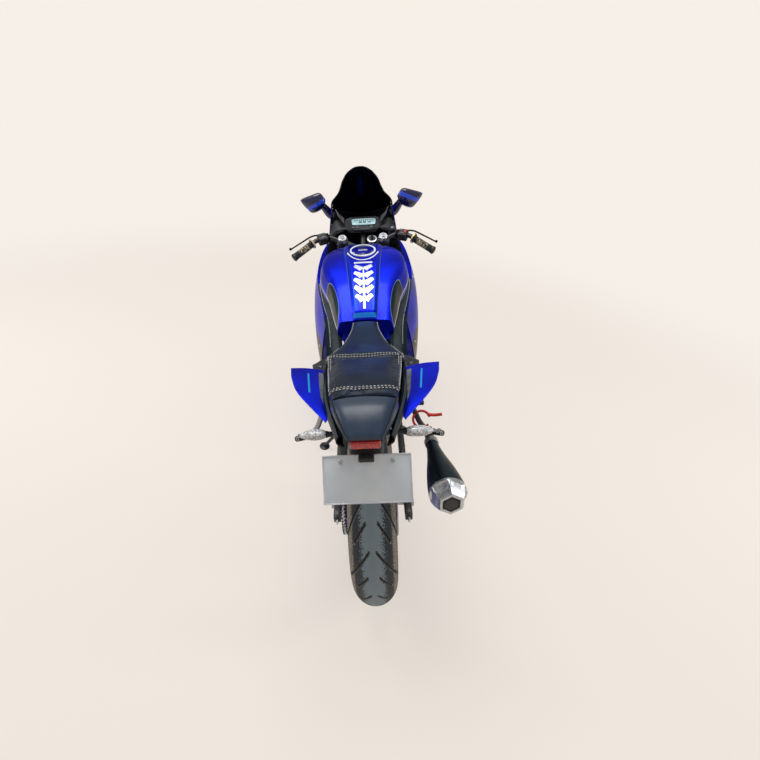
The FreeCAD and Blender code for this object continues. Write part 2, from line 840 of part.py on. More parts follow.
def exhaust_pipe():
    """The header down ahead of the engine, under it, and up the right side to the muffler."""
    return bent_rod([(58, 880, 520), (58, 930, 490), (58, 940, 450), (58, 936, 290), (62, 900, 215), (70, 840, 192),
                     (96, 580, 192), (160, 420, 250), (192, 300, 360), (211, 190, 472), muffler_front],
                    pipe_radius)


def muffler_line():
    front = vec(*muffler_front)
    tip = vec(*muffler_tip)
    return front, tip, (tip - front).normalize()


def muffler():
    """The can: it swells from the pipe back to its end cap."""
    front, tip, along = muffler_line()
    reach = (tip - front).Length
    stations = [(0, 0.37), (reach * 0.33, 0.56), (reach * 0.62, 0.88), (reach * 0.74, 0.97),
                (reach - muffler_end_length, 1)]
    return skin([ring(front + along * s, along, muffler_radius * share, muffler_sides)
                 for s, share in stations])


def muffler_end():
    """The faceted end cap with its outlet."""
    front, tip, along = muffler_line()
    start = tip - along * muffler_end_length
    outer = skin([ring(start, along, muffler_radius, 12), ring(tip, along, muffler_radius * 0.64, 12)])
    return outer.cut(rod(tip - along * 30, tip + along, 24, 20))


def footrests():
    """The rider's hanger plates and pegs, and the passenger's arms and pegs behind them."""
    plate = side_plate([(400, 520), (476, 520), (476, 400), (450, 386), (420, 386), (400, 430)], 140, 8)
    arm = block((plate_x + plate_thickness + 140) / 2, 454, 500,
                140 - plate_x - plate_thickness, 36, 22)
    peg = rod(vec(148, 436, 404), vec(236, 430, 408), 12, 10)
    rider = fuse([plate, arm, peg])
    hanger = bent_rod([(72, 144, 724), (138, 106, 674), (170, 97, 606), (214, 91, 562)], 9)
    pillion_peg = rod(vec(204, 91, 568), vec(252, 88, 560), 10)
    passenger = fuse([hanger, pillion_peg])
    return [rider, passenger]


def foot_controls():
    """The brake pedal on the right and the gear lever on the left."""
    pedal = bent_rod([(154, 452, 398), (156, 580, 352), (190, 596, 352)], 6, 8)
    return pair(pedal)


def rear_caliper():
    """A caliper astride the disc, on its bracket from the arm."""
    y = 66
    z = 392
    body = block(rear_disc_x + disc_thickness / 2, y, z, 38, 62, 44)
    slot = flat_ring(rear_disc_x - pad_gap, disc_thickness + 2 * pad_gap, rear_disc_radius + 4,
                     rear_disc_radius - disc_band - 40, REAR_AXLE)
    return body.cut(slot)


def chain_guard():
    """The long guard over the chain's upper run."""
    return side_plate([(-60, 424), (330, 398), (330, 406), (-60, 436)], chain_x - 12, 22)


def side_stand_axis():
    down = stand_foot_point() - vec(*stand_pivot)
    back = vec(-0.10, -1.0, 0.02)
    return down.cross(back).normalize()


def stand_foot_point():
    """The foot's middle, on the floor under the leaned bike."""
    lean = math.radians(lean_angle)
    sink = rear_crown_radius * (1 - math.cos(lean))
    return vec(stand_foot_x, stand_foot_y, (sink - stand_foot_x * math.sin(lean)) / math.cos(lean))


def side_stand():
    """The leg, the eye on its pivot and the flat foot."""
    pivot = vec(*stand_pivot)
    foot = stand_foot_point()
    axis = side_stand_axis()
    lean = math.radians(lean_angle)
    up = vec(math.sin(lean), 0, math.cos(lean))
    leg = rod(pivot, foot + up * stand_foot_thickness * 0.5, stand_radius)
    eye = rod(pivot - axis * stand_eye_half, pivot + axis * stand_eye_half, 15)
    eye_hole = hole(pivot - axis * 40, pivot + axis * 40, stand_pin_radius + running_gap, 24)
    pad = skin([ring(foot, up, 26, 12), ring(foot + up * stand_foot_thickness, up, 24, 12)])
    return fuse([leg, eye, pad]).cut(eye_hole)


def yokes():
    """The two clamps and the stem that joins them through the head tube."""
    def clamp(up):
        half = [(30, 46), (fork_spacing - 24, 76), (fork_spacing + 10, 80),
                (fork_spacing + 32, 62), (fork_spacing + 30, 30), (fork_spacing + 6, 18),
                (30, -30)]
        outline = half + [(-x, f) for x, f in reversed(half)]
        points = [fork_point(x, f, up - yoke_thickness / 2) for x, f in outline]
        return face_of(points).extrude(STEER_UP * yoke_thickness)

    stem = rod(fork_point(0, 0, lower_yoke_up),
               fork_point(0, 0, upper_yoke_up + yoke_thickness / 2 + 6), stem_radius, 12)
    whole = fuse([clamp(lower_yoke_up), clamp(upper_yoke_up), stem])
    for x in (-fork_spacing, fork_spacing):
        whole = whole.cut(rod(fork_point(x, fork_offset, lower_yoke_up - 30),
                              fork_point(x, fork_offset, upper_yoke_up + 30), fork_tube_radius))
    low_face = lower_yoke_up - yoke_thickness / 2
    return whole.cut(cylinder(stem_bore_radius, fork_point(0, 0, low_face - 5),
                              fork_point(0, 0, low_face + stem_bore_depth)))


def fork_tube():
    return rod(fork_point(fork_spacing, fork_offset, fork_leg_top_up - 20),
               fork_point(fork_spacing, fork_offset, fork_top_up), fork_tube_radius)


def fork_slider():
    return rod(fork_point(fork_spacing, fork_offset, axle_up - 26),
               fork_point(fork_spacing, fork_offset, fork_leg_top_up), fork_leg_radius)


def fork():
    """One leg: the chromed tube above, the thicker slider below with its axle foot."""
    inner = fork_tube()
    slider = fork_slider()
    return fuse([inner, slider]).cut(spindle(FRONT_AXLE, 200))


def front_axle():
    reach = fork_spacing + fork_leg_radius
    nut = hexagon(12, FRONT_AXLE + X * (reach + 1), X * 8)
    return fuse([spindle(FRONT_AXLE, reach + 4), nut])


BAR_END = vec(*bar_tip)
BAR_ALONG = (BAR_END - vec(*bar_bend)).normalize()


def bar():
    clamp = fork_point(fork_spacing, fork_offset, bar_up)
    return bent_rod([tuple(clamp), bar_elbow, bar_bend, bar_tip], bar_radius, 10)


def handlebar():
    """One clip-on: the clamp round the fork tube and the bar that sweeps out and back."""
    clamp = rod(fork_point(fork_spacing, fork_offset, bar_up - 14),
                fork_point(fork_spacing, fork_offset, bar_up + 14), fork_tube_radius + 8)
    whole = fuse([clamp, bar()])
    return whole.cut(rod(fork_point(fork_spacing, fork_offset, bar_up - 40),
                         fork_point(fork_spacing, fork_offset, bar_up + 40), fork_tube_radius))


def grip():
    start = BAR_END - BAR_ALONG * grip_length
    return rod(start, BAR_END - BAR_ALONG * 2, grip_radius).cut(bar())


def bar_control():
    """Switch box, lever perch and lever on one bar."""
    elbow = vec(*bar_elbow)
    along = (vec(*bar_bend) - elbow).normalize()
    box = rod(elbow + along * 8, elbow + along * 52, 23)
    root = elbow + along * 32
    lever = bent_rod([tuple(root + vec(4, 14, 0)), tuple(root + vec(12, 48, 6)),
                      tuple(root + vec(50, 44, 4)), tuple(BAR_END + vec(22, 46, 30))], 6)
    return fuse([box, lever]).cut(bar())


def front_fender():
    """A curved guard over the front tyre, with flanks down to the fork legs."""
    rows = []
    reach = front_tyre_radius + 14
    for angle in (32, 55, 78, 101, 124, 146):
        a = math.radians(angle)
        row = []
        for x, drop in ((0, 0), (36, 6), (60, 34)):
            r = reach - drop
            row.append((x, wheelbase + r * math.cos(a), front_tyre_radius + r * math.sin(a)))
        rows.append(across(row))
    guard = panel(rows, sheet, tuple(FRONT_AXLE))
    leg_y = fork_point(0, fork_offset, 560).y
    leg_z = fork_point(0, fork_offset, 560).z
    lug = block(66, leg_y, leg_z, 20, 36, 44).cut(fork_slider())
    return fuse([guard] + pair(lug))


def front_caliper():
    """A caliper astride the front disc, bolted to the left fork leg."""
    disc_x = -hub_face(front_rim_width) - disc_thickness
    inner = -hub_face(front_rim_width) + caliper_gap
    body = block(inner - 18, wheelbase - 112, front_tyre_radius + 46, 36, 44, 84)
    slot = flat_ring(disc_x - pad_gap, disc_thickness + 2 * pad_gap, front_disc_radius + 4,
                     front_disc_radius - disc_band - 40, FRONT_AXLE)
    slider = mirrored(fork_slider())
    bracket = block(-64, wheelbase - 92, front_tyre_radius + 60, 28, 60, 40)
    return fuse([body.cut(slot), bracket.cut(slot)]).cut(slider)


def steering():
    return {
        "yokes": [yokes()],
        "forks": pair(fork()),
        "handlebars": pair(handlebar()),
        "grips": pair(grip()),
        "bar_controls": pair(bar_control()),
        "front_fender": [front_fender()],
        "front_axle": [front_axle()],
        "front_caliper": [front_caliper()],
    }


def chassis():
    lamp = headlamp()
    cowl = trimmed(nose_cowl(), lamp, mirrored(lamp))
    fairing = trimmed(side_fairing(), cowl)
    main = trimmed(frame(), fairing, mirrored(fairing))
    stay = trimmed(cowl_stay(), main, cowl)
    rear = trimmed(subframe(), main)
    arms = swingarm()
    motor = engine().cut(main)
    cap = tank_cap()
    tank = trimmed(fuel_tank(), main, cap)
    screen = trimmed(windscreen(), cowl)
    saddle = trimmed(rider_seat(), tank, rear)
    pad = trimmed(pillion_seat(), rear)
    hump = trimmed(tail_cover(), pad)
    tail = trimmed(tail_side(), saddle, pad, hump, rear)
    gauge = trimmed(dash(), stay)
    can = muffler()
    knee = trimmed(knee_panel(), tank, fairing, tail, main, rear)
    flap = trimmed(seat_wing(), saddle, tail)
    rests = [trimmed(rest, main, rear) for rest in footrests()]
    return {
        "frame": [main],
        "subframe": [rear],
        "cowl_stay": [stay],
        "engine": [motor],
        "radiator": [trimmed(radiator(), motor)],
        "swingarm": [arms],
        "rear_axle": [rear_axle()],
        "chain": [chain()],
        "chain_guard": [chain_guard()],
        "shock": [trimmed(shock(), main, arms)],
        "fuel_tank": [tank],
        "tank_cap": [cap],
        "rider_seat": [saddle],
        "pillion_seat": [pad],
        "seat_wings": pair(flap),
        "tail_sides": pair(tail),
        "tail_wings": pair(trimmed(tail_wing(), tail)),
        "tail_cover": [hump],
        "tail_light": [tail_light()],
        "rear_fender": [trimmed(rear_fender(), rear)],
        "number_plate": [number_plate()],
        "rear_indicators": pair(rear_indicator()),
        "side_fairings": pair(fairing),
        "knee_panels": pair(knee),
        "belly_pan": [trimmed(belly_pan(), fairing, mirrored(fairing))],
        "nose_cowl": [cowl],
        "headlamps": pair(lamp),
        "windscreen": [screen],
        "mirrors": pair(trimmed(mirror(), cowl, screen)),
        "dash": [gauge],
        "cockpit_panels": pair(trimmed(cockpit_panel(), gauge, cowl, fairing, stay)),
        "exhaust_pipe": [trimmed(exhaust_pipe(), motor, can)],
        "muffler": [can],
        "muffler_end": [muffler_end()],
        "footrests": rests + [mirrored(rest) for rest in rests],
        "foot_controls": foot_controls(),
        "rear_caliper": [rear_caliper()],
    }


def park(shape):
    """Leans the upright bike over to its left."""
    return shape.rotated(ORIGIN, Y, -lean_angle)


def bodies():
    return {
        "root": chassis(),
        "side_stand": {"side_stand": [side_stand()]},
        "steering": steering(),
        "front_wheel": front_wheel(),
        "rear_wheel": rear_wheel(),
    }


def parked_nodes(groups):
    """Each node's parked shape, and where the point under the middle of the whole bike lies."""
    nodes = {}
    for group in groups.values():
        for name, solids in group.items():
            shape = Part.makeCompound(solids) if len(solids) > 1 else solids[0]
            nodes[name] = park(shape)
    box = Part.makeCompound(list(nodes.values())).optimalBoundingBox(True, False)
    origin = vec((box.XMin + box.XMax) / 2, (box.YMin + box.YMax) / 2, box.ZMin)
    return nodes, origin


def build():
    nodes, origin = parked_nodes(bodies())
    os.makedirs("parts", exist_ok=True)
    for name, shape in nodes.items():
        shape.translated(-origin).exportStep("parts/" + name + ".step")


if __name__ == "__main__":
    build()
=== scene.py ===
# %% [markdown]
# This lesson dresses a sport bike. The chassis comes ready as a fixed frame, and each piece of
# bodywork, rubber, leather and metal is made here as a surface worked out with numpy.

# %% Load the frame
import json
import math

import bmesh
import bpy
import numpy as np
from mathutils import Matrix


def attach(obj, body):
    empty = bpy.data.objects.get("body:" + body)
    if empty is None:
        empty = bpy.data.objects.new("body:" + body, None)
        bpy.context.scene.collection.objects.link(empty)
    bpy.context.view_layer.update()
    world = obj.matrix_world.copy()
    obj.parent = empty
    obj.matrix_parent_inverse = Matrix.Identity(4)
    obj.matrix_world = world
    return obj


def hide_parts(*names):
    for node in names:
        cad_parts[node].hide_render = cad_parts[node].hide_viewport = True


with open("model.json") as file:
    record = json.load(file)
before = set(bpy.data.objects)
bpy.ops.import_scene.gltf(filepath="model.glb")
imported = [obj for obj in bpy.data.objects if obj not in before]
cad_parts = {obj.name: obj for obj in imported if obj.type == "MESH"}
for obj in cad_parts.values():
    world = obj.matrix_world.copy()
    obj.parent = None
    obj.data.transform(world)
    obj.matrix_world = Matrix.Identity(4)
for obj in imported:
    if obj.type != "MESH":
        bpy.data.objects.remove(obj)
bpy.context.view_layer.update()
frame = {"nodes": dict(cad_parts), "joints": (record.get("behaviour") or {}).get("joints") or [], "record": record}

# %% [markdown]
# The bike leans on its stand, but it is far easier to draw it upright. So every piece is drawn in the
# bike's own upright frame in millimetres, with the rear axle above the origin, Y forward and Z up.
# The function park then leans it over and moves it to where the frame holds it.

# %% The bike's own frame
LEAN = math.radians(9)
REAR_AXLE = np.array([0.0, 0.0, 314.0])
FRONT_AXLE = np.array([0.0, 1325.0, 296.0])
TURN = np.array(Matrix.Rotation(-LEAN, 3, "Y"))
joint_at = {j["name"]: np.array(j["pos_m"]) for j in frame["joints"]}
SHIFT = TURN @ REAR_AXLE - joint_at["rear_wheel_spin"] * 1000


def park(points):
    """Upright millimetres to the leaned bike in metres: turned about Y, shifted, divided by 1000."""
    return (np.asarray(points, float) @ TURN.T - SHIFT) / 1000


RAKE = math.radians(25.5)
STEER_GROUND = np.array([0, 1413.0, 0])
STEER_UP = np.array([0, -math.sin(RAKE), math.cos(RAKE)])
STEER_FORWARD = np.array([0, math.cos(RAKE), math.sin(RAKE)])
FORK_X = 97.0
FORK_AHEAD = 48.0


def fork_point(x, ahead, up):
    """A place on the steering: across, ahead of its axis and up along it, from where it meets the floor."""
    return STEER_GROUND + np.array([x, 0, 0]) + STEER_FORWARD * ahead + STEER_UP * up


print("the rear axle lies at", np.round(park(REAR_AXLE), 4))

# %% [markdown]
# The photograph looks down over the tail from behind. The camera's place and turn were fitted to pairs
# of points on the bike's two sides, and the lens follows from the fitted focal length in pixels of a
# 760 pixel frame.

# %% Camera
FRAME_PIXELS = 760
EYE = (26.7, -812.3, 1465.5)
PITCH = 0.6310
YAW = -0.0338
ROLL = -0.0644
FOCAL_PIXELS = 374.4
CENTRE_PIXEL = (364.4, 377.2)
SENSOR_MM = 36.0

ahead = np.array([math.sin(YAW) * math.cos(PITCH), math.cos(YAW) * math.cos(PITCH), -math.sin(PITCH)])
level = np.array([math.cos(YAW), -math.sin(YAW), 0.0])
above = np.cross(level, ahead)
right = math.cos(ROLL) * level + math.sin(ROLL) * above
up = -math.sin(ROLL) * level + math.cos(ROLL) * above
camera = bpy.data.objects.new("camera", bpy.data.cameras.new("camera"))
bpy.context.scene.collection.objects.link(camera)
turn = Matrix((TURN @ right, TURN @ up, TURN @ -ahead)).transposed()
camera.matrix_world = Matrix.Translation(park(EYE)) @ turn.to_4x4()
camera.data.sensor_width = SENSOR_MM
camera.data.lens = FOCAL_PIXELS / FRAME_PIXELS * SENSOR_MM
camera.data.shift_x = (FRAME_PIXELS / 2 - CENTRE_PIXEL[0]) / FRAME_PIXELS
camera.data.shift_y = (CENTRE_PIXEL[1] - FRAME_PIXELS / 2) / FRAME_PIXELS
camera.data.clip_start = 0.05
bpy.context.scene.camera = camera
print("lens", round(camera.data.lens, 2), "mm")

# %% [markdown]
# Bodywork is drawn as a few rows of measured points with a smooth surface through them. The curve used
# is Catmull-Rom, because it passes through every point, so a number can be corrected where it is seen
# to be wrong without moving the rest.


# %% Smooth curves and surfaces
def through(rows, at):
    """The curve through rows of values at places from 0 to 1: between two rows it is the cubic that
    meets both, with slopes taken from the rows on either side of them."""
    rows = np.asarray(rows, float)
    spot = np.clip(np.asarray(at, float), 0, 1) * (len(rows) - 1)
    i = np.minimum(spot.astype(int), len(rows) - 2)
    t = (spot - i).reshape((-1,) + (1,) * (rows.ndim - 1))
    more = np.concatenate([2 * rows[:1] - rows[1:2], rows, 2 * rows[-1:] - rows[-2:-1]])
    a, b, c, d = (more[i + k] for k in range(4))
    return b + 0.5 * t * (c - a + t * (2 * a - 5 * b + 4 * c - d + t * (3 * (b - c) + d - a)))


def cubic_shares(at, count):
    """The first of the four net points near each place, and how much each of the four counts there."""
    spot = np.clip(np.asarray(at, float), 0, 1) * (count - 1)
    i = np.minimum(spot.astype(int), count - 2)
    t = spot - i
    return i, (t * (t * (2 - t) - 1) / 2, (t * t * (3 * t - 5) + 2) / 2, t * (t * (4 - 3 * t) + 1) / 2,
               t * t * (t - 1) / 2)


def on_sheet(net, along, across):
    """The surface through a net of points at places along and across it, from 0 to 1: each point is the
    sum of the sixteen net points around it, each times its two shares."""
    net = np.asarray(net, float)
    net = np.concatenate([2 * net[:1] - net[1:2], net, 2 * net[-1:] - net[-2:-1]])
    net = np.concatenate([2 * net[:, :1] - net[:, 1:2], net, 2 * net[:, -1:] - net[:, -2:-1]], axis=1)
    along, across = np.broadcast_arrays(along, across)
    i, down = cubic_shares(along, len(net) - 2)
    j, over = cubic_shares(across, net.shape[1] - 2)
    return sum((down[a] * over[b])[..., None] * net[i + a, j + b] for a in range(4) for b in range(4))


def whole_sheet(net, rows, columns):
    """A net's surface on an even grid of rows and columns."""
    return on_sheet(net, steps(rows)[:, None], steps(columns)[None])


def above_sheet(net, along, across, lift, outside):
    """Points a height above a net's surface, along the cross product of its two directions there."""
    e = 1e-3
    along, across = np.clip(along, e, 1 - e), np.clip(across, e, 1 - e)
    down = on_sheet(net, along + e, across) - on_sheet(net, along - e, across)
    over = on_sheet(net, along, across + e) - on_sheet(net, along, across - e)
    spot = on_sheet(net, along, across)
    n = unit(np.cross(down, over))
    n = n * np.sign(((np.asarray(outside, float) - spot) * n).sum())
    return spot + n * np.asarray(lift, float)[..., None]


def steps(count, low=0.0, high=1.0):
    """Evenly spaced places from low to high."""
    return np.linspace(low, high, count)


def both_sides(half_row):
    """A row from the middle to the right, completed to the left by changing the sign of x."""
    half_row = np.asarray(half_row, float)
    return np.concatenate([half_row[:0:-1] * [-1, 1, 1], half_row])


def circle(count):
    """Angles evenly spaced round a whole turn, the end left out."""
    return steps(count + 1, 0, 2 * math.pi)[:-1]


def spots_round(centre, radius, count, start=0.0):
    """Places on a circle about an axis along X: centre + radius (0, cos a, sin a)."""
    a = circle(count) + start
    return np.asarray(centre, float) + radius * np.stack([np.zeros(count), np.cos(a), np.sin(a)], -1)


def ease(value, low, high):
    """0 below low, 1 above high, and 3 t squared minus 2 t cubed between them."""
    t = np.clip((value - low) / (high - low), 0, 1)
    return t * t * (3 - 2 * t)


def unit(vectors):
    """Vectors divided by their lengths."""
    vectors = np.asarray(vectors, float)
    return vectors / np.maximum(np.linalg.norm(vectors, axis=-1, keepdims=True), 1e-9)


def normals(grid, outside):
    """The unit normal at each grid point: the cross product of the grid's two directions there, turned
    towards the side of a point that lies outside."""
    n = unit(np.cross(np.gradient(grid, axis=0), np.gradient(grid, axis=1)))
    return n * np.sign(((np.asarray(outside, float) - grid) * n).sum())


def shell(grid, thickness, outside):
    """A sheet made solid: out along its outer side and back along an inner side a thickness below it.
    The first and last rows are drawn together to close it."""
    inner = grid - normals(grid, outside) * thickness
    loop = np.concatenate([grid, inner[:, ::-1]], axis=1)
    middle = (grid + inner) / 2
    ends = np.concatenate([middle, middle[:, ::-1]], axis=1)
    return np.concatenate([ends[:1], loop, ends[-1:]])


def frame_along(path, reference):
    """Two unit vectors square to a path's heading at each point: heading x reference, and heading x that."""
    heading = unit(np.gradient(path, axis=0))
    side = unit(np.cross(heading, reference))
    return side, np.cross(heading, side)


def tube(path, radius, sides=14, reference=(0, 0, 1), squash=1.0):
    """A circle carried along a path: centre + radius (cos a side + squash sin a other)."""
    path = np.asarray(path, float)
    side, other = frame_along(path, reference)
    radius = np.broadcast_to(radius, len(path))[:, None, None]
    a = circle(sides)[:, None]
    return path[:, None] + radius * (np.cos(a) * side[:, None] + squash * np.sin(a) * other[:, None])


def bent(points, radius, sides=14, fine=8, **how):
    """A tube on the smooth curve through some points."""
    return tube(through(points, steps(fine * (len(points) - 1) + 1)), radius, sides, **how)


def turned(profile, base, axis, sides=40):
    """A profile of (distance along the axis, radius) pairs carried round the axis:
    base + distance axis + radius (cos a side + sin a other)."""
    profile = np.asarray(profile, float)
    axis = unit(axis)
    side = unit(np.cross(axis, (0, 0, 1) if abs(axis[2]) < 0.9 else (0, 1, 0)))
    a = circle(sides)[:, None]
    ring = np.cos(a) * side + np.sin(a) * np.cross(axis, side)
    return np.asarray(base, float) + profile[:, 0, None, None] * axis + profile[:, 1, None, None] * ring


def block(centre, half, radius, axes=None, fine=3):
    """A block with round edges: a ball of the edge radius, its eight parts pushed out to the corners."""
    a = steps(8 * fine, 0, 2 * math.pi * (1 - 1 / (8 * fine))) + math.pi / (8 * fine)
    b = steps(4 * fine, -math.pi / 2 + 0.001, math.pi / 2 - 0.001)
    ball = np.stack([np.cos(b)[:, None] * np.cos(a), np.cos(b)[:, None] * np.sin(a),
                     np.repeat(np.sin(b)[:, None], len(a), 1)], -1)
    points = ball * radius + np.sign(ball) * (np.asarray(half, float) - radius)
    axes = np.eye(3) if axes is None else np.asarray(axes, float)
    return np.asarray(centre, float) + points @ axes


def bolt(base, axis, radius, height=4.0):
    """A socket screw's head: up its side, over a small bevel, across to the socket and down into it."""
    return turned([(-1, radius), (height * 0.7, radius), (height, radius * 0.85), (height, radius * 0.5),
                   (height * 0.35, radius * 0.42), (height * 0.35, 0.01)], base, axis, 16)


def mirrored(grid):
    """The same surface on the other side of the bike."""
    return np.asarray(grid, float) * [-1, 1, 1]


print("a curve through 0, 1, 4 at its middle:", through([[0.0], [1.0], [4.0]], [0.5])[0])

# %% [markdown]
# A finished piece often has several finishes, such as a lamp with its lens and its rim. The class Piece
# gathers surfaces with the finish of each, then makes one object. Doubled points are merged, so poles
# and seams close, and all faces are turned outwards.


# %% Gathering surfaces into a piece
def woven(rows, columns, ring, loop):
    """The corners of each four-sided face of a grid; ring joins the last row to the first, loop the last
    column to the first."""
    r = np.arange(rows if ring else rows - 1)[:, None]
    c = np.arange(columns if loop else columns - 1)[None, :]
    after, beside = (r + 1) % rows, (c + 1) % columns
    return np.stack([r * columns + c, r * columns + beside,
                     after * columns + beside, after * columns + c], -1).reshape(-1, 4)


class Piece:
    """Surfaces in upright millimetres that become one object, riding on one body."""

    def __init__(self, name, body, slot, *nodes):
        self.name, self.body, self.slot, self.nodes = name, body, slot, nodes
        self.points, self.faces, self.marks, self.finishes, self.values = [], [], [], [], []
        self.count = 0

    def add(self, grid, finish, loop=True, ring=False, caps=True, value=0.0):
        """Adds a grid: loop joins its last column to its first, ring its last row to its first, and caps
        close its end rows at their middles."""
        grid = np.asarray(grid, float)
        value = np.broadcast_to(value, grid.shape[:2])
        if loop and caps and not ring:
            ends = [np.repeat(row.mean(0)[None, None], grid.shape[1], 1) for row in (grid[0], grid[-1])]
            grid = np.concatenate([ends[0], grid, ends[1]])
            value = np.concatenate([value[:1], value, value[-1:]])
        return self.keep(grid, woven(*grid.shape[:2], ring, loop), finish, value)

    def add_many(self, grids, finish):
        """Adds many like tubes at once, each row of each a closed ring."""
        grids = np.asarray(grids, float)
        many, rows, columns = grids.shape[:3]
        first = (np.arange(many) * rows * columns)[:, None, None]
        faces = (woven(rows, columns, False, True) + first).reshape(-1, 4)
        return self.keep(grids, faces, finish, np.zeros(many * rows * columns))

    def keep(self, points, faces, finish, value):
        """Notes points with a value each, and the faces between them with their finish."""
        if finish not in self.finishes:
            self.finishes.append(finish)
        self.points.append(points.reshape(-1, 3))
        self.values.append(value.ravel())
        self.faces.append(faces + self.count)
        self.marks.append(np.full(len(faces), self.finishes.index(finish)))
        self.count += points.size // 3
        return self

    def add_pair(self, grid, finish, **how):
        """Adds a surface on the right and its mirror image on the left."""
        return self.add(grid, finish, **how).add(mirrored(grid), finish, **how)

    def finish(self, sharp=38, value_name=None):
        """Makes the object: merges doubles, turns faces out, shades it smooth up to the sharp angle."""
        mesh = bpy.data.meshes.new(self.name)
        faces = np.concatenate(self.faces)
        mesh.vertices.add(self.count)
        mesh.vertices.foreach_set("co", park(np.concatenate(self.points)).astype("f4").ravel())
        mesh.loops.add(faces.size)
        mesh.loops.foreach_set("vertex_index", faces.ravel().astype("i4"))
        mesh.polygons.add(len(faces))
        mesh.polygons.foreach_set("loop_start", np.arange(0, faces.size, 4, dtype="i4"))
        mesh.polygons.foreach_set("material_index", np.concatenate(self.marks).astype("i4"))
        if value_name:
            layer = mesh.attributes.new(value_name, "FLOAT", "POINT")
            layer.data.foreach_set("value", np.concatenate(self.values).astype("f4"))
        mesh.update(calc_edges=True)
        work = bmesh.new()
        work.from_mesh(mesh)
        bmesh.ops.remove_doubles(work, verts=work.verts, dist=4e-6)
        bmesh.ops.recalc_face_normals(work, faces=work.faces)
        work.to_mesh(mesh)
        work.free()
        for finish in self.finishes:
            mesh.materials.append(finish.material)
        mesh.shade_smooth()
        mesh.set_sharp_from_angle(angle=math.radians(sharp))
        piece = bpy.data.objects.new(self.name, mesh)
        bpy.context.scene.collection.objects.link(piece)
        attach(piece, self.body)
        if self.nodes:
            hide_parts(*self.nodes)
        print(self.name, "has", len(mesh.polygons), "faces")
        return piece


# %% [markdown]
# Finishes are shader nodes. Arithmetic on sockets reads badly as node calls, so a small class wraps a
# socket and lets plus, minus and times add the Math nodes. Each finish is a Principled surface whose
# colour, roughness and bump are worked out from the place on the bike.


# %% Shader sums
class Value:
    """A shader socket on which Python's operators add Math nodes."""

    def __init__(self, finish, socket):
        self.finish, self.socket = finish, socket

    def math(self, operation, *others):
        return self.finish.node("ShaderNodeMath", {"operation": operation}, [self, *others])

    def __add__(self, other):
        return self.math("ADD", other)

    def __sub__(self, other):
        return self.math("SUBTRACT", other)

    def __mul__(self, other):
        return self.math("MULTIPLY", other)

    def __rsub__(self, other):
        return self.finish.node("ShaderNodeMath", {"operation": "SUBTRACT"}, [other, self])

    __radd__ = __add__
    __rmul__ = __mul__

    def between(self, low, high):
        """0 at low and 1 at high, smooth between and level beyond."""
        return self.finish.node("ShaderNodeMapRange", {"interpolation_type": "SMOOTHSTEP"},
                                {"Value": self, "From Min": low, "From Max": high})

    def band(self, low, high, soft):
        """1 between low and high, falling to 0 within a soft margin outside."""
        return self.between(low - soft, low) * (1 - self.between(high, high + soft))

    def size(self):
        return self.math("ABSOLUTE")


class Finish:
    """A named Principled material with helpers for the nodes that its recipe needs."""

    def __init__(self, name, colour, roughness=0.5, metallic=0.0, **fixed):
        self.material = bpy.data.materials.new(name)
        self.material.use_nodes = True
        self.tree = self.material.node_tree
        self.shader = self.tree.nodes["Principled BSDF"]
        self.shader.inputs["Base Color"].default_value = (*colour, 1)
        self.shader.inputs["Roughness"].default_value = roughness
        self.shader.inputs["Metallic"].default_value = metallic
        for socket, amount in fixed.items():
            self.shader.inputs[socket.replace("_", " ")].default_value = amount

    def node(self, kind, settings=None, inputs=(), output=0):
        """Adds one node: its settings first, then the values or links of its sockets."""
        node = self.tree.nodes.new(kind)
        for name, setting in (settings or {}).items():
            setattr(node, name, setting)
        for key, value in (inputs.items() if isinstance(inputs, dict) else enumerate(inputs)):
            if isinstance(value, Value):
                self.tree.links.new(value.socket, node.inputs[key])
            else:
                node.inputs[key].default_value = value
        return Value(self, node.outputs[output])

    def place(self, stretch=(1, 1, 1)):
        """Where a point is on the upright bike, in metres, with each axis stretched."""
        spot = self.node("ShaderNodeTexCoord", output="Object")
        back = tuple(TURN.T @ SHIFT / 1000)
        spot = self.node("ShaderNodeMapping",
                         inputs={"Vector": spot, "Location": back, "Rotation": (0, LEAN, 0)})
        return self.node("ShaderNodeMapping", inputs={"Vector": spot, "Scale": stretch})

    def axes(self):
        """The three coordinates on the upright bike, in millimetres."""
        spot = self.place((1000, 1000, 1000))
        return [self.node("ShaderNodeSeparateXYZ", inputs=[spot], output=k) for k in range(3)]

    def noise(self, scale, detail=2.0, stretch=(1, 1, 1)):
        return self.node("ShaderNodeTexNoise", inputs={"Vector": self.place(stretch), "Scale": scale,
                                                       "Detail": detail})

    def cells(self, scale, feature="F1"):
        return self.node("ShaderNodeTexVoronoi", {"feature": feature},
                         {"Vector": self.place(), "Scale": scale})

    def attribute(self, name):
        return self.node("ShaderNodeAttribute", {"attribute_name": name}, output="Fac")

    def blend(self, mask, low, high):
        """A colour between two others, by a mask from 0 to 1."""
        low, high = (c if isinstance(c, Value) else (*c[:3], 1) for c in (low, high))
        return self.node("ShaderNodeMix", {"data_type": "RGBA"}, {0: mask, 6: low, 7: high}, output=2)

    def drive(self, socket, value):
        self.tree.links.new(value.socket, self.shader.inputs[socket])
        return self

    def tint(self, mask, low, high):
        """Colours the surface between two colours, by a mask from 0 to 1."""
        return self.drive("Base Color", self.blend(mask, low, high))

    def bump(self, height, depth_mm, strength=0.6):
        """Dents the shading by a height from 0 to 1 that stands for so many millimetres."""
        dent = self.node("ShaderNodeBump", inputs={"Height": height, "Distance": depth_mm / 1000,
                                                   "Strength": strength})
        return self.drive("Normal", dent)


print("shader helpers ready")

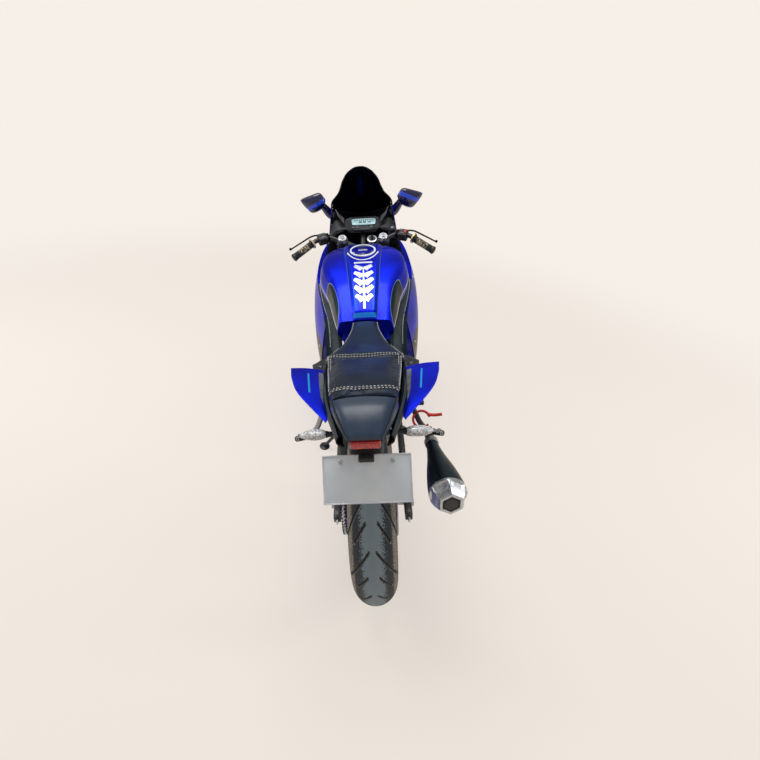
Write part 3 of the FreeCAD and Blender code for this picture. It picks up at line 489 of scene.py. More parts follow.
# %% [markdown]
# The bodywork is a deep cobalt with fine metal flake under clear lacquer. The flake is a fine noise in
# the colour, a broad noise makes the coat uneven, and the lacquer is the shader's coat layer. Towards
# the floor the same paint carries road dust. A second colour is masked in by place, as a painter masks
# a panel with tape.

# %% Painted and glossy finishes
COBALT_DEEP = (0.000, 0.003, 0.32)
COBALT_BRIGHT = (0.001, 0.020, 0.95)
ICE_BLUE = (0.03, 0.42, 1.0)
BLACK_GLOSS = (0.004, 0.005, 0.010)
DUST = (0.30, 0.24, 0.18)


def painted(name, mask_of=None, second=BLACK_GLOSS, deep=COBALT_DEEP, bright=COBALT_BRIGHT):
    """Lacquer from a deep to a bright tone. mask_of gives, from the axes, where a second colour shows."""
    finish = Finish(name, bright, 0.3, 0.75, Coat_Weight=0.12, Coat_Roughness=0.08, Specular_IOR_Level=0.2)
    flake = finish.noise(1400, 1.0) * 0.5 + finish.noise(9, 3.0) * 0.7
    colour = finish.blend(flake.between(0.35, 0.85), deep, bright)
    x, y, z = finish.axes()
    if mask_of:
        colour = finish.blend(mask_of(x, y, z), colour, second)
    dust = (1 - z.between(150, 420)) * finish.noise(60, 4.0).between(0.5, 0.8) * 0.5
    finish.tint(dust, colour, DUST)
    finish.drive("Roughness", finish.noise(25, 3.0) * 0.10 + dust * 0.4 + 0.27)
    return finish.bump(finish.noise(700, 1.0), 0.04, 0.25)


def over(finish, mask, colour):
    """Lays one more colour over what a finish already shows, where a mask is 1."""
    shown = Value(finish, finish.shader.inputs["Base Color"].links[0].from_socket)
    return finish.tint(mask, shown, colour)


BLUE = painted("cobalt lacquer")
BLUE_TANK = painted("cobalt lacquer with slate side leaves")
LEAF_Y = 570
SLATE = (0.012, 0.030, 0.040)
LEAF_EDGE_HIGHLIGHT = (0.30, 0.34, 0.42)
SPINE_BLUE = (0.002, 0.03, 0.72)
x, y, z = BLUE_TANK.axes()
along_leaf = (y - LEAF_Y) * 0.0105
across_leaf = (x.size() - 134 - (y - LEAF_Y) * 0.2) * 0.036
leaf = along_leaf * along_leaf + across_leaf * across_leaf
over(BLUE_TANK, 1 - leaf.between(0.98, 1.0), SLATE)
# The pale ring round each leaf is a painted highlight, the light caught on the tank's edge.
over(BLUE_TANK, leaf.band(0.95, 1.01, 0.02), LEAF_EDGE_HIGHLIGHT)
spine = (x.size() - y * 0.115).band(-30, -9, 1) * y.band(500, 880, 2) * z.between(800, 830)
over(BLUE_TANK, spine, SPINE_BLUE)
BLUE_SIDE = painted("cobalt lacquer with a black band",
                    lambda x, y, z: (z - y * 0.15).between(512, 509) * (z - y * 0.35).between(148, 152))
BLUE_WING = painted("cobalt lacquer with a light streak",
                    lambda x, y, z: (x.size() - y * 0.15).band(150, 154, 1) * y.band(-44, 36, 4), ICE_BLUE)
BLACK_PAINT = painted("black lacquer", deep=(0.002, 0.002, 0.004), bright=BLACK_GLOSS)

SCREEN_BLACK = Finish("smoked screen", (0.002, 0.002, 0.003), 0.05, 0.0, Coat_Weight=0.3,
                      Coat_Roughness=0.02)
# Broad patches of faint dark blue on the screen are a painted sheen.
painted_sheen = SCREEN_BLACK.noise(4, 3.0).between(0.45, 0.8)
SCREEN_BLACK.tint(painted_sheen, (0.001, 0.001, 0.002), (0.002, 0.004, 0.010))
SCREEN_BLACK.drive("Roughness", SCREEN_BLACK.noise(90, 4.0) * 0.08 + 0.05)

GLOSS_NAVY = Finish("navy gloss moulding", (0.008, 0.028, 0.065), 0.2, 0.0, Coat_Weight=0.3,
                    Coat_Roughness=0.22, Specular_IOR_Level=0.3)
GLOSS_NAVY.tint(GLOSS_NAVY.noise(14, 3.0), (0.006, 0.020, 0.050), (0.012, 0.036, 0.080))
GLOSS_NAVY.drive("Roughness", GLOSS_NAVY.noise(120, 4.0) * 0.15 + 0.30)
print("painted finishes:", [f.material.name for f in (BLUE, BLUE_SIDE, BLUE_WING)])

# %% [markdown]
# Moulded plastic, leather, rubber and bare metals each have their own grain. Leather is a net of small
# cells, moulded plastic a fine even noise, turned metal a noise drawn out along one axis.


# %% Grained and metal finishes
def grained(name, dark, light, roughness, scale, depth, **fixed):
    """A matt material whose colour and height follow a noise of one scale."""
    finish = Finish(name, dark, roughness, 0.0, **fixed)
    grain = finish.noise(scale, 3.0)
    finish.tint(finish.noise(scale / 25, 4.0).between(0.35, 0.75), dark, light)
    finish.drive("Roughness", grain * 0.2 + (roughness - 0.1))
    return finish.bump(grain, depth)


def metal(name, dark, light, roughness, stretch=(1, 1, 1), scale=160, **fixed):
    """Bare metal: a noise drawn out along the axes with small stretch varies colour and polish."""
    finish = Finish(name, dark, roughness, 1.0, **fixed)
    grain = finish.noise(scale, 4.0, stretch)
    finish.tint(grain.between(0.3, 0.7), dark, light)
    finish.drive("Roughness", grain * 0.2 + (roughness - 0.1))
    return finish.bump(grain, 0.05, 0.3)


BLACK_PLASTIC = grained("moulded black plastic", (0.010, 0.011, 0.014), (0.024, 0.027, 0.032), 0.5, 1500,
                        0.12)
SLATE_PLASTIC = grained("slate knee panel", (0.010, 0.022, 0.028), (0.022, 0.042, 0.050), 0.45, 1100, 0.2)
SWITCH_GREY = grained("grey switch plastic", (0.07, 0.08, 0.09), (0.16, 0.17, 0.19), 0.45, 900, 0.1)
RED_RUBBER = grained("red rubber", (0.55, 0.015, 0.01), (0.80, 0.04, 0.025), 0.5, 700, 0.1)
# Pale trim; as tubes along the tank's and the knee panels' edges the same pale is a painted highlight.
PALE_TRIM_AND_EDGE_HIGHLIGHT = grained("pale trim and painted edge highlight", (0.60, 0.63, 0.70), (0.84, 0.87, 0.93), 0.4, 500, 0.05)
THREAD = grained("white seat thread", (0.55, 0.55, 0.54), (0.82, 0.82, 0.80), 0.75, 3000, 0.1)
BEIGE_RUBBER = grained("beige collar", (0.55, 0.42, 0.30), (0.75, 0.60, 0.45), 0.6, 900, 0.1)
FRAME_BLACK = grained("black coated steel", (0.010, 0.011, 0.013), (0.022, 0.024, 0.028), 0.42, 500, 0.08,
                      Coat_Weight=0.3, Coat_Roughness=0.2)
CAST_DARK = grained("cast engine case", (0.030, 0.031, 0.034), (0.070, 0.072, 0.078), 0.5, 420, 0.3)
GLOSS_PIPING = grained("glossy seat roll", (0.008, 0.010, 0.016), (0.016, 0.022, 0.034), 0.25, 800, 0.1,
                       Coat_Weight=0.6, Coat_Roughness=0.12)
SILVER = metal("bright machined alloy", (0.50, 0.53, 0.57), (0.72, 0.75, 0.79), 0.34, (1, 1, 1), 220)
BRUSHED = metal("brushed steel", (0.42, 0.42, 0.43), (0.68, 0.68, 0.68), 0.32, (1, 0.08, 1), 700)
CHROME = metal("hard chrome", (0.72, 0.73, 0.75), (0.85, 0.86, 0.88), 0.14, (1, 1, 1), 40)
ALLOY = metal("sand cast alloy", (0.30, 0.31, 0.33), (0.46, 0.47, 0.49), 0.42, (1, 1, 1), 500)
GOLD = metal("gold anodised", (0.62, 0.42, 0.13), (0.85, 0.64, 0.26), 0.3, (1, 1, 1), 260)
CAN_BLACK = metal("dark muffler skin", (0.020, 0.036, 0.048), (0.046, 0.074, 0.092), 0.38, (1, 0.1, 1), 500)
# Burnt black inside the muffler, and painted shade in the holes of the discs and the sprocket carrier.
SOOT_AND_HOLE_SHADE = grained("soot and painted hole shade", (0.004, 0.004, 0.004), (0.012, 0.011, 0.010), 0.9, 300, 0.3)
HEADER = metal("heat tinted pipe", (0.20, 0.15, 0.11), (0.40, 0.34, 0.30), 0.4, (1, 1, 1), 30)

LEATHER = Finish("navy leather", (0.010, 0.020, 0.040), 0.42, 0.0, Coat_Weight=0.04, Coat_Roughness=0.3,
                 Specular_IOR_Level=0.2)
pores = LEATHER.cells(420, "DISTANCE_TO_EDGE").between(0.0, 0.12)
LEATHER.tint(LEATHER.noise(16, 4.0).between(0.3, 0.75), (0.006, 0.013, 0.026), (0.012, 0.026, 0.052))
LEATHER.drive("Roughness", pores * -0.10 + LEATHER.noise(40, 3.0) * 0.12 + 0.42)
LEATHER.bump(pores * 0.6 + LEATHER.noise(60, 4.0) * 0.5, 0.35, 0.5)

LENS_CLEAR = Finish("clear lamp lens", (0.80, 0.82, 0.84), 0.12, Coat_Weight=0.5)
ribs = LENS_CLEAR.cells(230)
LENS_CLEAR.tint(ribs.between(0.15, 0.75), (0.90, 0.91, 0.92), (0.40, 0.41, 0.43))
LENS_CLEAR.bump(ribs, 0.8)
LENS_RED = Finish("red lamp lens", (0.55, 0.005, 0.005), 0.1, Coat_Weight=0.8, Coat_Roughness=0.03)
facets = LENS_RED.cells(170)
LENS_RED.tint(facets.between(0.1, 0.7), (0.80, 0.02, 0.015), (0.34, 0.003, 0.003))
LENS_RED.bump(facets, 0.8, 0.5)
DISPLAY = Finish("pale display", (0.42, 0.68, 0.72), 0.15, Coat_Weight=0.5)
DISPLAY.tint(DISPLAY.noise(40), (0.40, 0.66, 0.72), (0.56, 0.82, 0.86))
MIRROR_GLASS = Finish("mirror glass", (0.55, 0.6, 0.7), 0.03, 1.0)
MIRROR_GLASS.drive("Roughness", MIRROR_GLASS.noise(60, 3.0) * 0.08)
PLATE_WHITE = Finish("blank plate", (0.62, 0.68, 0.74), 0.4, Coat_Weight=0.2)
PLATE_WHITE.tint(PLATE_WHITE.noise(12, 4.0).between(0.3, 0.8), (0.66, 0.74, 0.82), (0.80, 0.86, 0.92))
PLATE_WHITE.drive("Roughness", PLATE_WHITE.noise(80, 3.0) * 0.2 + 0.3)

GRIP_MOTTLED = Finish("mottled grip", (0.02, 0.02, 0.02), 0.6)
worn = GRIP_MOTTLED.noise(110, 3.0).between(0.46, 0.58)
GRIP_MOTTLED.tint(worn, (0.018, 0.018, 0.020), (0.50, 0.42, 0.28))
GRIP_MOTTLED.bump(GRIP_MOTTLED.cells(600), 0.5)
print("grained finishes ready")

# %% [markdown]
# The tyres are the only rubber seen close. Their finish follows how far a point lies across the tread, which the
# tyre's mesh carries as a value called tread, from 0 at the middle to 1 at the bead. In the grooves the value is
# raised by up to 1, which keeps them dark: partly the real unworn rubber there, partly painted shade.

# %% Tyre rubber
RUBBER = Finish("tyre rubber", (0.02, 0.024, 0.027), 0.7)
tread = RUBBER.attribute("tread")
speck = RUBBER.noise(300, 5.0)
scrubbed = 1 - (tread + speck * 0.5).between(0.43, 0.53)
shoulder_dust = (tread + speck * 0.2).band(0.60, 0.80, 0.04) * speck.between(0.36, 0.56)
base = RUBBER.blend(scrubbed, (0.010, 0.016, 0.025), (0.20, 0.26, 0.30))
RUBBER.tint(shoulder_dust * 0.8, base, (0.36, 0.31, 0.24))
RUBBER.drive("Roughness", speck * 0.25 + 0.5)
RUBBER.bump(RUBBER.noise(900, 3.0), 0.3)
print("rubber ready")

# %% [markdown]
# The tank is pressed steel: broad shoulders, a waist for the knees and a raised spine with bevelled
# flanks that runs down to the seat. Its net has one row for each measured section, and the spine is
# added as a height over the net, so its flanks stay crisp where a smooth curve would round them off.

# %% Tank
OUTSIDE_TOP = (0, 600, 3000)
TANK_SECTIONS = ((470, 700, 800, 110, 46), (540, 700, 842, 127, 52), (640, 712, 892, 151, 61),
                 (740, 745, 931, 189, 70), (820, 790, 950, 185, 78), (885, 840, 948, 144, 82),
                 (940, 880, 936, 83, 72))


def tank_row(y, low, high, half, top_half):
    """One section: level over the spine, rounding over the shoulder to the widest line, then tucking in."""
    rise = high - low
    return both_sides([(0, y, high), (top_half * 0.6, y, high - 0.5), (top_half, y, high - 2),
                       (half * 0.72 + top_half * 0.28, y, high - rise * 0.08),
                       (half * 0.95, y, low + rise * 0.74),
                       (half, y, low + rise * 0.46), (half * 0.9, y, low + rise * 0.16),
                       (half * 0.7, y, low)])


TANK_NET = [tank_row(*section) for section in TANK_SECTIONS]


def spine_height(points):
    """7 mm over the middle, falling evenly to 0 between the spine's inner and outer edges."""
    x, y = np.abs(points[..., 0]), points[..., 1]
    inner, outer = 44 + (y - 600) * 0.077, 58.5 + (y - 600) * 0.0885
    flank = np.clip((outer - x) / (outer - inner), 0, 1)
    return 7 * flank * (points[..., 2] > 760) * ease(y, 462, 500)


def on_tank(along, across, lift=0.0):
    """A place on the tank, or a height above it."""
    points = above_sheet(TANK_NET, along, across, lift, OUTSIDE_TOP)
    return points + np.stack([np.zeros(points.shape[:-1])] * 2 + [spine_height(points)], -1)


tank = Piece("tank", "root", "blue_paint", "fuel_tank")
tank.add(on_tank(steps(101)[:, None], steps(241)[None]), BLUE_TANK)
edge_run = steps(60, 0.02, 0.97)
# On each side the pale tube along the flank is a painted highlight, the light caught on the tank's edge.
for side in (-1, 1):
    tank.add(tube(on_tank(edge_run, 0.5 + side * (0.335 + 0.02 * edge_run), 0.5), 1.7, 8), PALE_TRIM_AND_EDGE_HIGHLIGHT)
    tank.add(tube(on_tank(edge_run, 0.5 + side * 2.02 / 14, 0.2), 0.9, 8), SWITCH_GREY)
tank.finish(sharp=30)

# %% [markdown]
# The filler cap is a bright ring round a dark dished disc with a hinged key flap and small screws. Behind
# it a pale arc, a bar and a row of chevrons are laid on the tank.

# %% Filler cap
cap = Piece("filler_cap", "root", "muffler_steel", "tank_cap")
CAP_AT = np.array([0, 816, 951.0])
CAP_UP = unit((0, -0.12, 1))
cap.add(turned([(0, 57), (4.2, 57), (5, 55.5), (5, 48.5), (4, 48), (1, 48)], CAP_AT, CAP_UP, 64), PALE_TRIM_AND_EDGE_HIGHLIGHT)
cap.add(turned([(0, 48), (3.4, 47.5), (3.4, 40), (1.8, 38), (1.8, 0.1)], CAP_AT, CAP_UP, 64), GLOSS_NAVY)
cap.add(turned([(1, 35), (3, 35), (3.6, 33), (3.6, 0.1)], CAP_AT, CAP_UP, 48), SWITCH_GREY)
cap.add(block(CAP_AT + (0, 1, 4.6), (20, 9, 2.2), 2, fine=3), SILVER)
for a in circle(6) + math.pi / 6:
    at = CAP_AT + (44.5 * math.cos(a), 44.5 * math.sin(a), 2 + 0.6 * math.sin(a))
    cap.add(bolt(at, CAP_UP, 3.2, 3), BRUSHED)
cap.finish()

trim = Piece("tank_trim", "root", "blue_paint")
SECTION_Y = [section[0] for section in TANK_SECTIONS]
SPINE_WIDTHS = [section[4] for section in TANK_SECTIONS]


def tank_strip(x, y, half_width, lift=0.7):
    """A flat strip on the tank round a line of x, y: its columns lie each side of the line."""
    line = np.stack([x, y], -1)
    heading = unit(np.gradient(line, axis=0))
    beside = np.stack([-heading[:, 1], heading[:, 0]], -1)
    sideways = steps(5, -1, 1)[None, :, None] * np.reshape(half_width, (-1, 1, 1))
    spread = line[:, None] + sideways * beside[:, None]
    rows = np.interp(spread[..., 1], SECTION_Y, steps(7))
    flat = np.interp(spread[..., 1], SECTION_Y, SPINE_WIDTHS)
    points = on_tank(rows, 0.5 + spread[..., 0] / flat / 7)
    points = np.stack([spread[..., 0], points[..., 1], points[..., 2] + lift], -1)
    return shell(points, lift + 0.8, OUTSIDE_TOP)


ARC_TURN = steps(50, math.pi * 1.08, math.pi * 1.92)
trim.add(tank_strip(68 * np.cos(ARC_TURN), CAP_AT[1] + 76 * np.sin(ARC_TURN), 2.6), PALE_TRIM_AND_EDGE_HIGHLIGHT)
trim.add(tank_strip(steps(20, -38, 38), np.full(20, 722.0), 4.5), PALE_TRIM_AND_EDGE_HIGHLIGHT)
CHEVRONS = ((36, 34), (38, 38), (38, 42), (36, 44), (32, 40))
CHEVRON_TOP, CHEVRON_GAP = 682, 36
for k, (reach, drop) in enumerate(CHEVRONS):
    y = CHEVRON_TOP - k * CHEVRON_GAP + steps(16) ** 0.8 * drop * 0.6
    for side in (-1, 1):
        trim.add(tank_strip(side * steps(16, 6, reach), y, steps(16, 12, 7), 1.6), SILVER)
trim.add(tank_strip(np.zeros(30), steps(30, 690, 506), steps(30, 2.5, 4.5), 2.2), SILVER)
ICE_PAINT = painted("ice blue lacquer", deep=(0.01, 0.14, 0.6), bright=ICE_BLUE)
trim.add(tank_strip(steps(20, -44, 44), np.full(20, 484.0), 8, 0.8), ICE_PAINT)
trim.finish()

# %% [markdown]
# Both seats are foam under stitched leather. Each starts as a crowned form through its sections, a little
# small. It is remeshed evenly and swollen as cloth under pressure, as the real cover is by its foam, and
# the swelling is capped so that it stays within the space the chassis keeps for it.


# %% Foam and leather
def seat_row(y, low, high, half, round_down, crown):
    """A closed section: level below, upright sides, a rounded edge and a crowned top."""
    side = [(half * 0.5, y, low), (half * 0.92, y, low), (half, y, low + 5),
            (half, y, high - round_down - 3), (half * 0.97, y, high - round_down * 0.45),
            (half * 0.82, y, high - round_down * 0.08), (half * 0.5, y, high + crown * 0.7)]
    other_side = [(-x, y, z) for x, y, z in side[::-1]]
    return [(0, y, low), *side, (0, y, high + crown), *other_side, (0, y, low)]


def mesh_points(mesh):
    """A mesh's points as rows of x, y and z in metres."""
    flat = np.empty(len(mesh.vertices) * 3, "f4")
    mesh.vertices.foreach_get("co", flat)
    return flat.reshape(-1, 3)


def worked_out(piece):
    """The mesh that an object's modifiers make of it; they are then taken off."""
    graph = bpy.context.evaluated_depsgraph_get()
    mesh = bpy.data.meshes.new_from_object(piece.evaluated_get(graph))
    piece.modifiers.clear()
    return mesh


VOXEL = 0.0055
SWELL_FRAMES = 20
SWELL_LIMIT = 0.005


def foam(name, sections, nodes):
    """The form through its sections, swollen as cloth with pressure and no gravity, then subdivided once."""
    seat = Piece(name, "root", "seat_vinyl", nodes)
    grid = whole_sheet([seat_row(*s) for s in sections], 8 * len(sections), 96)
    seat.add(grid[:, :-1], LEATHER)
    piece = seat.finish(sharp=180)
    remesh = piece.modifiers.new("even", "REMESH")
    remesh.mode = "VOXEL"
    remesh.voxel_size = VOXEL
    remesh.use_smooth_shade = True
    mesh = worked_out(piece)
    piece.data = mesh
    start = mesh_points(mesh)
    cloth = piece.modifiers.new("swell", "CLOTH")
    cloth.settings.quality = 5
    cloth.settings.mass = 0.3
    cloth.settings.use_pressure = True
    cloth.settings.uniform_pressure_force = 4
    cloth.settings.effector_weights.gravity = 0
    cloth.point_cache.frame_start = 1
    cloth.point_cache.frame_end = SWELL_FRAMES
    for frame_number in range(1, SWELL_FRAMES + 1):
        bpy.context.scene.frame_set(frame_number)
    move = mesh_points(worked_out(piece)) - start
    size = np.linalg.norm(move, axis=1, keepdims=True)
    move *= np.minimum(1, SWELL_LIMIT / np.maximum(size, 1e-9))
    mesh.vertices.foreach_set("co", (start + move).ravel())
    mesh.update()
    bpy.context.scene.frame_set(1)
    print(name, "swelled by up to", round(float(size.max()) * 1000, 1), "mm")
    mesh.materials.clear()
    mesh.materials.append(LEATHER.material)
    finer = piece.modifiers.new("finer", "SUBSURF")
    finer.levels = finer.render_levels = 1
    piece.data = worked_out(piece)
    piece.data.shade_smooth()
    return (mesh_points(piece.data) * 1000 + SHIFT) @ TURN


RIDER_SECTIONS = ((470, 747, 796, 51, 16, 1), (400, 747, 801, 57, 18, 2), (310, 750, 806, 79, 20, 3),
                  (240, 754, 815, 108, 20, 4), (170, 760, 834, 127, 18, 5), (132, 770, 842, 125, 20, 4))
PILLION_SECTIONS = ((108, 840, 858, 109, 10, 3), (60, 843, 874, 106, 12, 5), (0, 848, 893, 100, 14, 6),
                    (-60, 857, 911, 93, 15, 6), (-110, 866, 921, 86, 16, 5), (-146, 876, 926, 77, 20, 3))
rider_top = foam("rider_seat_pad", RIDER_SECTIONS, "rider_seat")
pillion_top = foam("pillion_seat_pad", PILLION_SECTIONS, "pillion_seat")

# %% [markdown]
# The seams are sewn after the foam has settled: each stitch is a short thread that follows the leather
# below it. The leather's height under a stitch is read from the few surface points nearest in plan.


# %% Seams and stitches
def leather_height(surface, x, y):
    """The height of the upper surface at places x, y: the mean of the highest among the nearest points,
    weighted by one over the squared distance."""
    floor_height = surface[:, 2].mean() - 12
    high = surface[surface[:, 2] > floor_height]
    from_x, from_y = (np.reshape(places, (-1, 1)) for places in (x, y))
    far = (high[None, :, 0] - from_x) ** 2 + (high[None, :, 1] - from_y) ** 2
    nearest = np.argpartition(far, 10, axis=1)[:, :10]
    z = high[nearest, 2]
    share = (z > z.max(1, keepdims=True) - 4) / (np.take_along_axis(far, nearest, 1) + 0.5)
    z = (z * share).sum(1) / share.sum(1)
    return z.reshape(np.shape(x))


def seam_line(surface, corners, spacing=1.0, lift=0.0):
    """A smooth line through corners given in plan, laid on the leather, with even spacing."""
    plan = through(corners, steps(400))
    run = np.concatenate([[0], np.cumsum(np.linalg.norm(np.diff(plan, axis=0), axis=1))])
    at = np.arange(0, run[-1], spacing)
    x, y = (np.interp(at, run, plan[:, k]) for k in (0, 1))
    z = leather_height(surface, x, y)
    z = np.convolve(np.pad(z, 3, "edge"), np.full(7, 1 / 7), "valid")
    return np.stack([x, y, z + lift], -1)


def sewn(piece, surface, corners, offset=0.0):
    """A row of stitches, 6 mm of thread for every 9 mm of seam; each is a short tube that dips in at
    its ends."""
    line = seam_line(surface, corners, 1.0, 0.9)
    side, _ = frame_along(line, (0, 0, 1))
    line = line + side * offset
    first = np.arange(0, len(line) - 8, 9)
    centre = line[first[:, None] + np.array([0, 1, 3, 5, 6])]
    heading = unit(centre[:, -1] - centre[:, 0])
    side = unit(np.cross(heading, (0, 0, 1)))
    upward = np.cross(side, heading)
    a = circle(6)
    radius = np.array([0.001, 1.0, 1.3, 1.0, 0.001])[None, :, None, None]
    ring = np.cos(a)[None, :, None] * side[:, None] + np.sin(a)[None, :, None] * upward[:, None]
    dip = np.array([-0.8, 0.2, 0.5, 0.2, -0.8])[None, :, None] * upward[:, None]
    piece.add_many((centre + dip)[:, :, None] + radius * ring[:, None], THREAD)


seams = Piece("seat_seams", "root", "seat_vinyl")
for side in (-1, 1):
    edge = [(side * 45, 466), (side * 50, 400), (side * 66, 330), (side * 92, 262), (side * 114, 200),
            (side * 118, 140)]
    sewn(seams, rider_top, edge)
    seams.add(tube(seam_line(rider_top, [(x + side * 5, y) for x, y in edge], 6, 0.4), 1.8, 8),
              GLOSS_PIPING)
    post = [(side * 103, 104), (side * 98, 40), (side * 90, -30), (side * 80, -118)]
    for beside in (3.5, -3.5):
        sewn(seams, pillion_top, post, beside)
    seams.add(tube(seam_line(pillion_top, post, 6, 0.2), 2.2, 8), GLOSS_PIPING)
back = [(-116, 150), (-60, 144), (0, 142), (60, 144), (116, 150)]
for ahead_by in (14, 6):
    sewn(seams, rider_top, [(x, y + ahead_by) for x, y in back])
rear = [(-84, -112), (-40, -121), (0, -123), (40, -121), (84, -112)]
for beside in (4, -4):
    sewn(seams, pillion_top, rear, beside)
seams.add(tube(seam_line(pillion_top, rear, 6, 0.3), 2.4, 8), GLOSS_PIPING)
seams.finish()

# %% [markdown]
# The fairing is a pair of bowed sheets from the cowl back to the knees and down to a pan under the
# engine. Its net is the same measured rows as the chassis keeps, drawn smooth, and its screws and the
# louvres behind the wheel are laid on that surface at places along and across it.

# %% Fairing and belly pan
OUTSIDE_RIGHT = (3000, 800, 500)
FAIRING_NET = [
    [(183, 1189, 892), (210, 1070, 866), (224, 930, 822), (208, 790, 775), (168, 640, 735)],
    [(205, 1189, 812), (238, 1070, 772), (250, 920, 712), (238, 770, 655), (198, 610, 605)],
    [(196, 1150, 690), (234, 1040, 640), (250, 900, 590), (242, 750, 530), (212, 592, 490)],
    [(184, 1060, 480), (214, 1000, 450), (226, 880, 420), (222, 750, 385), (200, 620, 350)],
    [(150, 985, 226), (160, 950, 224), (166, 865, 222), (163, 765, 220), (150, 662, 218)]]

fairing = Piece("side_fairing_panels", "root", "blue_paint", "side_fairings")
fairing.add_pair(shell(whole_sheet(FAIRING_NET, 81, 61), 4, OUTSIDE_RIGHT), BLUE_SIDE)
line = steps(24)[:, None]
lift = 5 * np.sin(math.pi * steps(9)[None] * 0.5) * np.sin(math.pi * line) + 0.4
for start in (0.36, 0.46, 0.56):
    slot_rows = start + 0.13 * line + steps(9, -0.02, 0.02)[None]
    louvre = above_sheet(FAIRING_NET, slot_rows, 0.22 + 0.34 * line, lift, OUTSIDE_RIGHT)
    fairing.add_pair(shell(louvre, 3, OUTSIDE_RIGHT), BLACK_PLASTIC)
SCREW_PLACES = ((0.05, 0.1), (0.05, 0.55), (0.32, 0.93), (0.6, 0.9), (0.85, 0.85), (0.85, 0.15),
                (0.5, 0.05))
for place in SCREW_PLACES:
    spot, clear = (above_sheet(FAIRING_NET, *np.reshape(place, (2, 1)), height, OUTSIDE_RIGHT)[0]
                   for height in (0.0, 10.0))
    fairing.add_pair(bolt(spot, clear - spot, 5.5, 2.5), BRUSHED)
fairing.finish()

pan_rows = [both_sides([(x * 0.5, y, 156), (x * 0.86, y, 176), (x, y, z)]) for x, y, z in FAIRING_NET[-1]]
pan = Piece("belly_pan_shell", "root", "dark_plastic", "belly_pan")
pan.add(shell(whole_sheet(pan_rows, 31, 61), 4, (0, 800, -3000)), BLUE_SIDE)
pan.finish()

# %% [markdown]
# Between the tank and the fairing a slate-coloured panel fills the gap and runs back under the seat's edge. A pale
# tube along its outer edge is a painted highlight, the light caught on that edge.

# %% Knee panels
KNEE_NET = [
    [(150, 850, 826), (150, 770, 800), (140, 690, 770), (122, 610, 742), (100, 500, 728), (92, 400, 724),
     (98, 330, 720)],
    [(188, 850, 822), (181, 770, 794), (166, 690, 764), (146, 610, 736), (130, 500, 712), (122, 400, 704),
     (124, 330, 700)],
    [(218, 850, 796), (203, 770, 768), (184, 690, 744), (164, 610, 716), (154, 500, 684), (150, 400, 668),
     (150, 330, 672)]]
knee = Piece("knee_panel_mouldings", "root", "dark_plastic", "knee_panels")
knee.add_pair(shell(whole_sheet(KNEE_NET, 31, 81), 3, OUTSIDE_TOP), SLATE_PLASTIC)
run = steps(60, 0.02, 0.72)
# The pale tube is a painted highlight along the panel's outer edge.
knee.add_pair(tube(above_sheet(KNEE_NET, np.full(60, 0.84), run, 0.3, OUTSIDE_TOP), 0.8, 8), PALE_TRIM_AND_EDGE_HIGHLIGHT)
knee.finish()

# %% [markdown]
# The tail is a stack of thin mouldings: a side panel, a black edge strip, a winglet with a light streak
# and a navy hump with a faint crease down its middle. The lamp and the indicators hang from it.

# %% Tail
TAIL_NET = [
    [(58, 440, 742), (96, 300, 744), (122, 168, 752), (122, 116, 836), (100, -80, 868), (62, -232, 880)],
    [(72, 430, 712), (120, 290, 714), (138, 165, 724), (136, 100, 800), (108, -80, 846), (64, -236, 866)],
    [(86, 400, 676), (118, 280, 678), (124, 160, 692), (112, 80, 760), (88, -80, 806), (50, -230, 846)]]
tail = Piece("tail_side_panels", "root", "blue_paint", "tail_sides")
tail.add_pair(shell(whole_sheet(TAIL_NET, 25, 91), 4, OUTSIDE_RIGHT), BLACK_PAINT)
upper_edge = np.array(TAIL_NET[0][3:])
strip_rows = [upper_edge + (-3, 0, 4), upper_edge + (3, 0, 1)]
tail.add_pair(shell(whole_sheet(strip_rows, 9, 41), 3, OUTSIDE_TOP), SLATE_PLASTIC)
tail.finish()

WING_NET = [[(118, 66, 854), (112, 10, 854), (104, -60, 853), (88, -128, 851)],
            [(163, 62, 867), (156, 12, 866), (138, -55, 863), (92, -137, 852)],
            [(208, 56, 874), (199, 12, 873), (172, -52, 869), (96, -146, 852)]]
wings = Piece("tail_winglets", "root", "blue_paint", "tail_wings")
wings.add_pair(shell(whole_sheet(WING_NET, 41, 61), 6.5, OUTSIDE_TOP), BLUE_WING)
wings.add_pair(shell(above_sheet(WING_NET, steps(9, 0.02, 0.16)[:, None], steps(40, 0.1, 0.95)[None],
                                 np.full((9, 40), 1.2), OUTSIDE_TOP), 2, OUTSIDE_TOP), SWITCH_GREY)
wings.finish()

HUMP = ((-148, 874, 924, 78, 16), (-180, 876, 921, 68, 16), (-210, 879, 913, 57, 14),
        (-238, 884, 902, 45, 8), (-249, 887, 897, 38, 5))


def hump_row(y, low, high, half, drop):
    """A section that falls evenly from a soft crease in the middle to a rounded edge."""
    return both_sides([(0, y, high + 2), (half * 0.45, y, high), (half * 0.85, y, high - drop * 0.35),
                       (half, y, high - drop), (half * 0.97, y, low), (half * 0.5, y, low)])


hump = Piece("tail_hump", "root", "dark_plastic", "tail_cover")
hump.add(whole_sheet([hump_row(*s) for s in HUMP], 41, 121), GLOSS_NAVY)
hump_edge = through([(half, y, high - drop * 0.5) for y, low, high, half, drop in HUMP], steps(40))
hump.add_pair(tube(hump_edge, 2.2, 8), BLACK_PLASTIC)
hump.finish()

light = Piece("tail_lamp", "root", "lamp_red", "tail_light")
light.add(block((0, -231, 869), (34, 18, 11), 5, fine=5), LENS_RED)
light.add(block((0, -222, 866), (38, 10, 8), 3, fine=3), BLACK_PLASTIC)
light.finish()

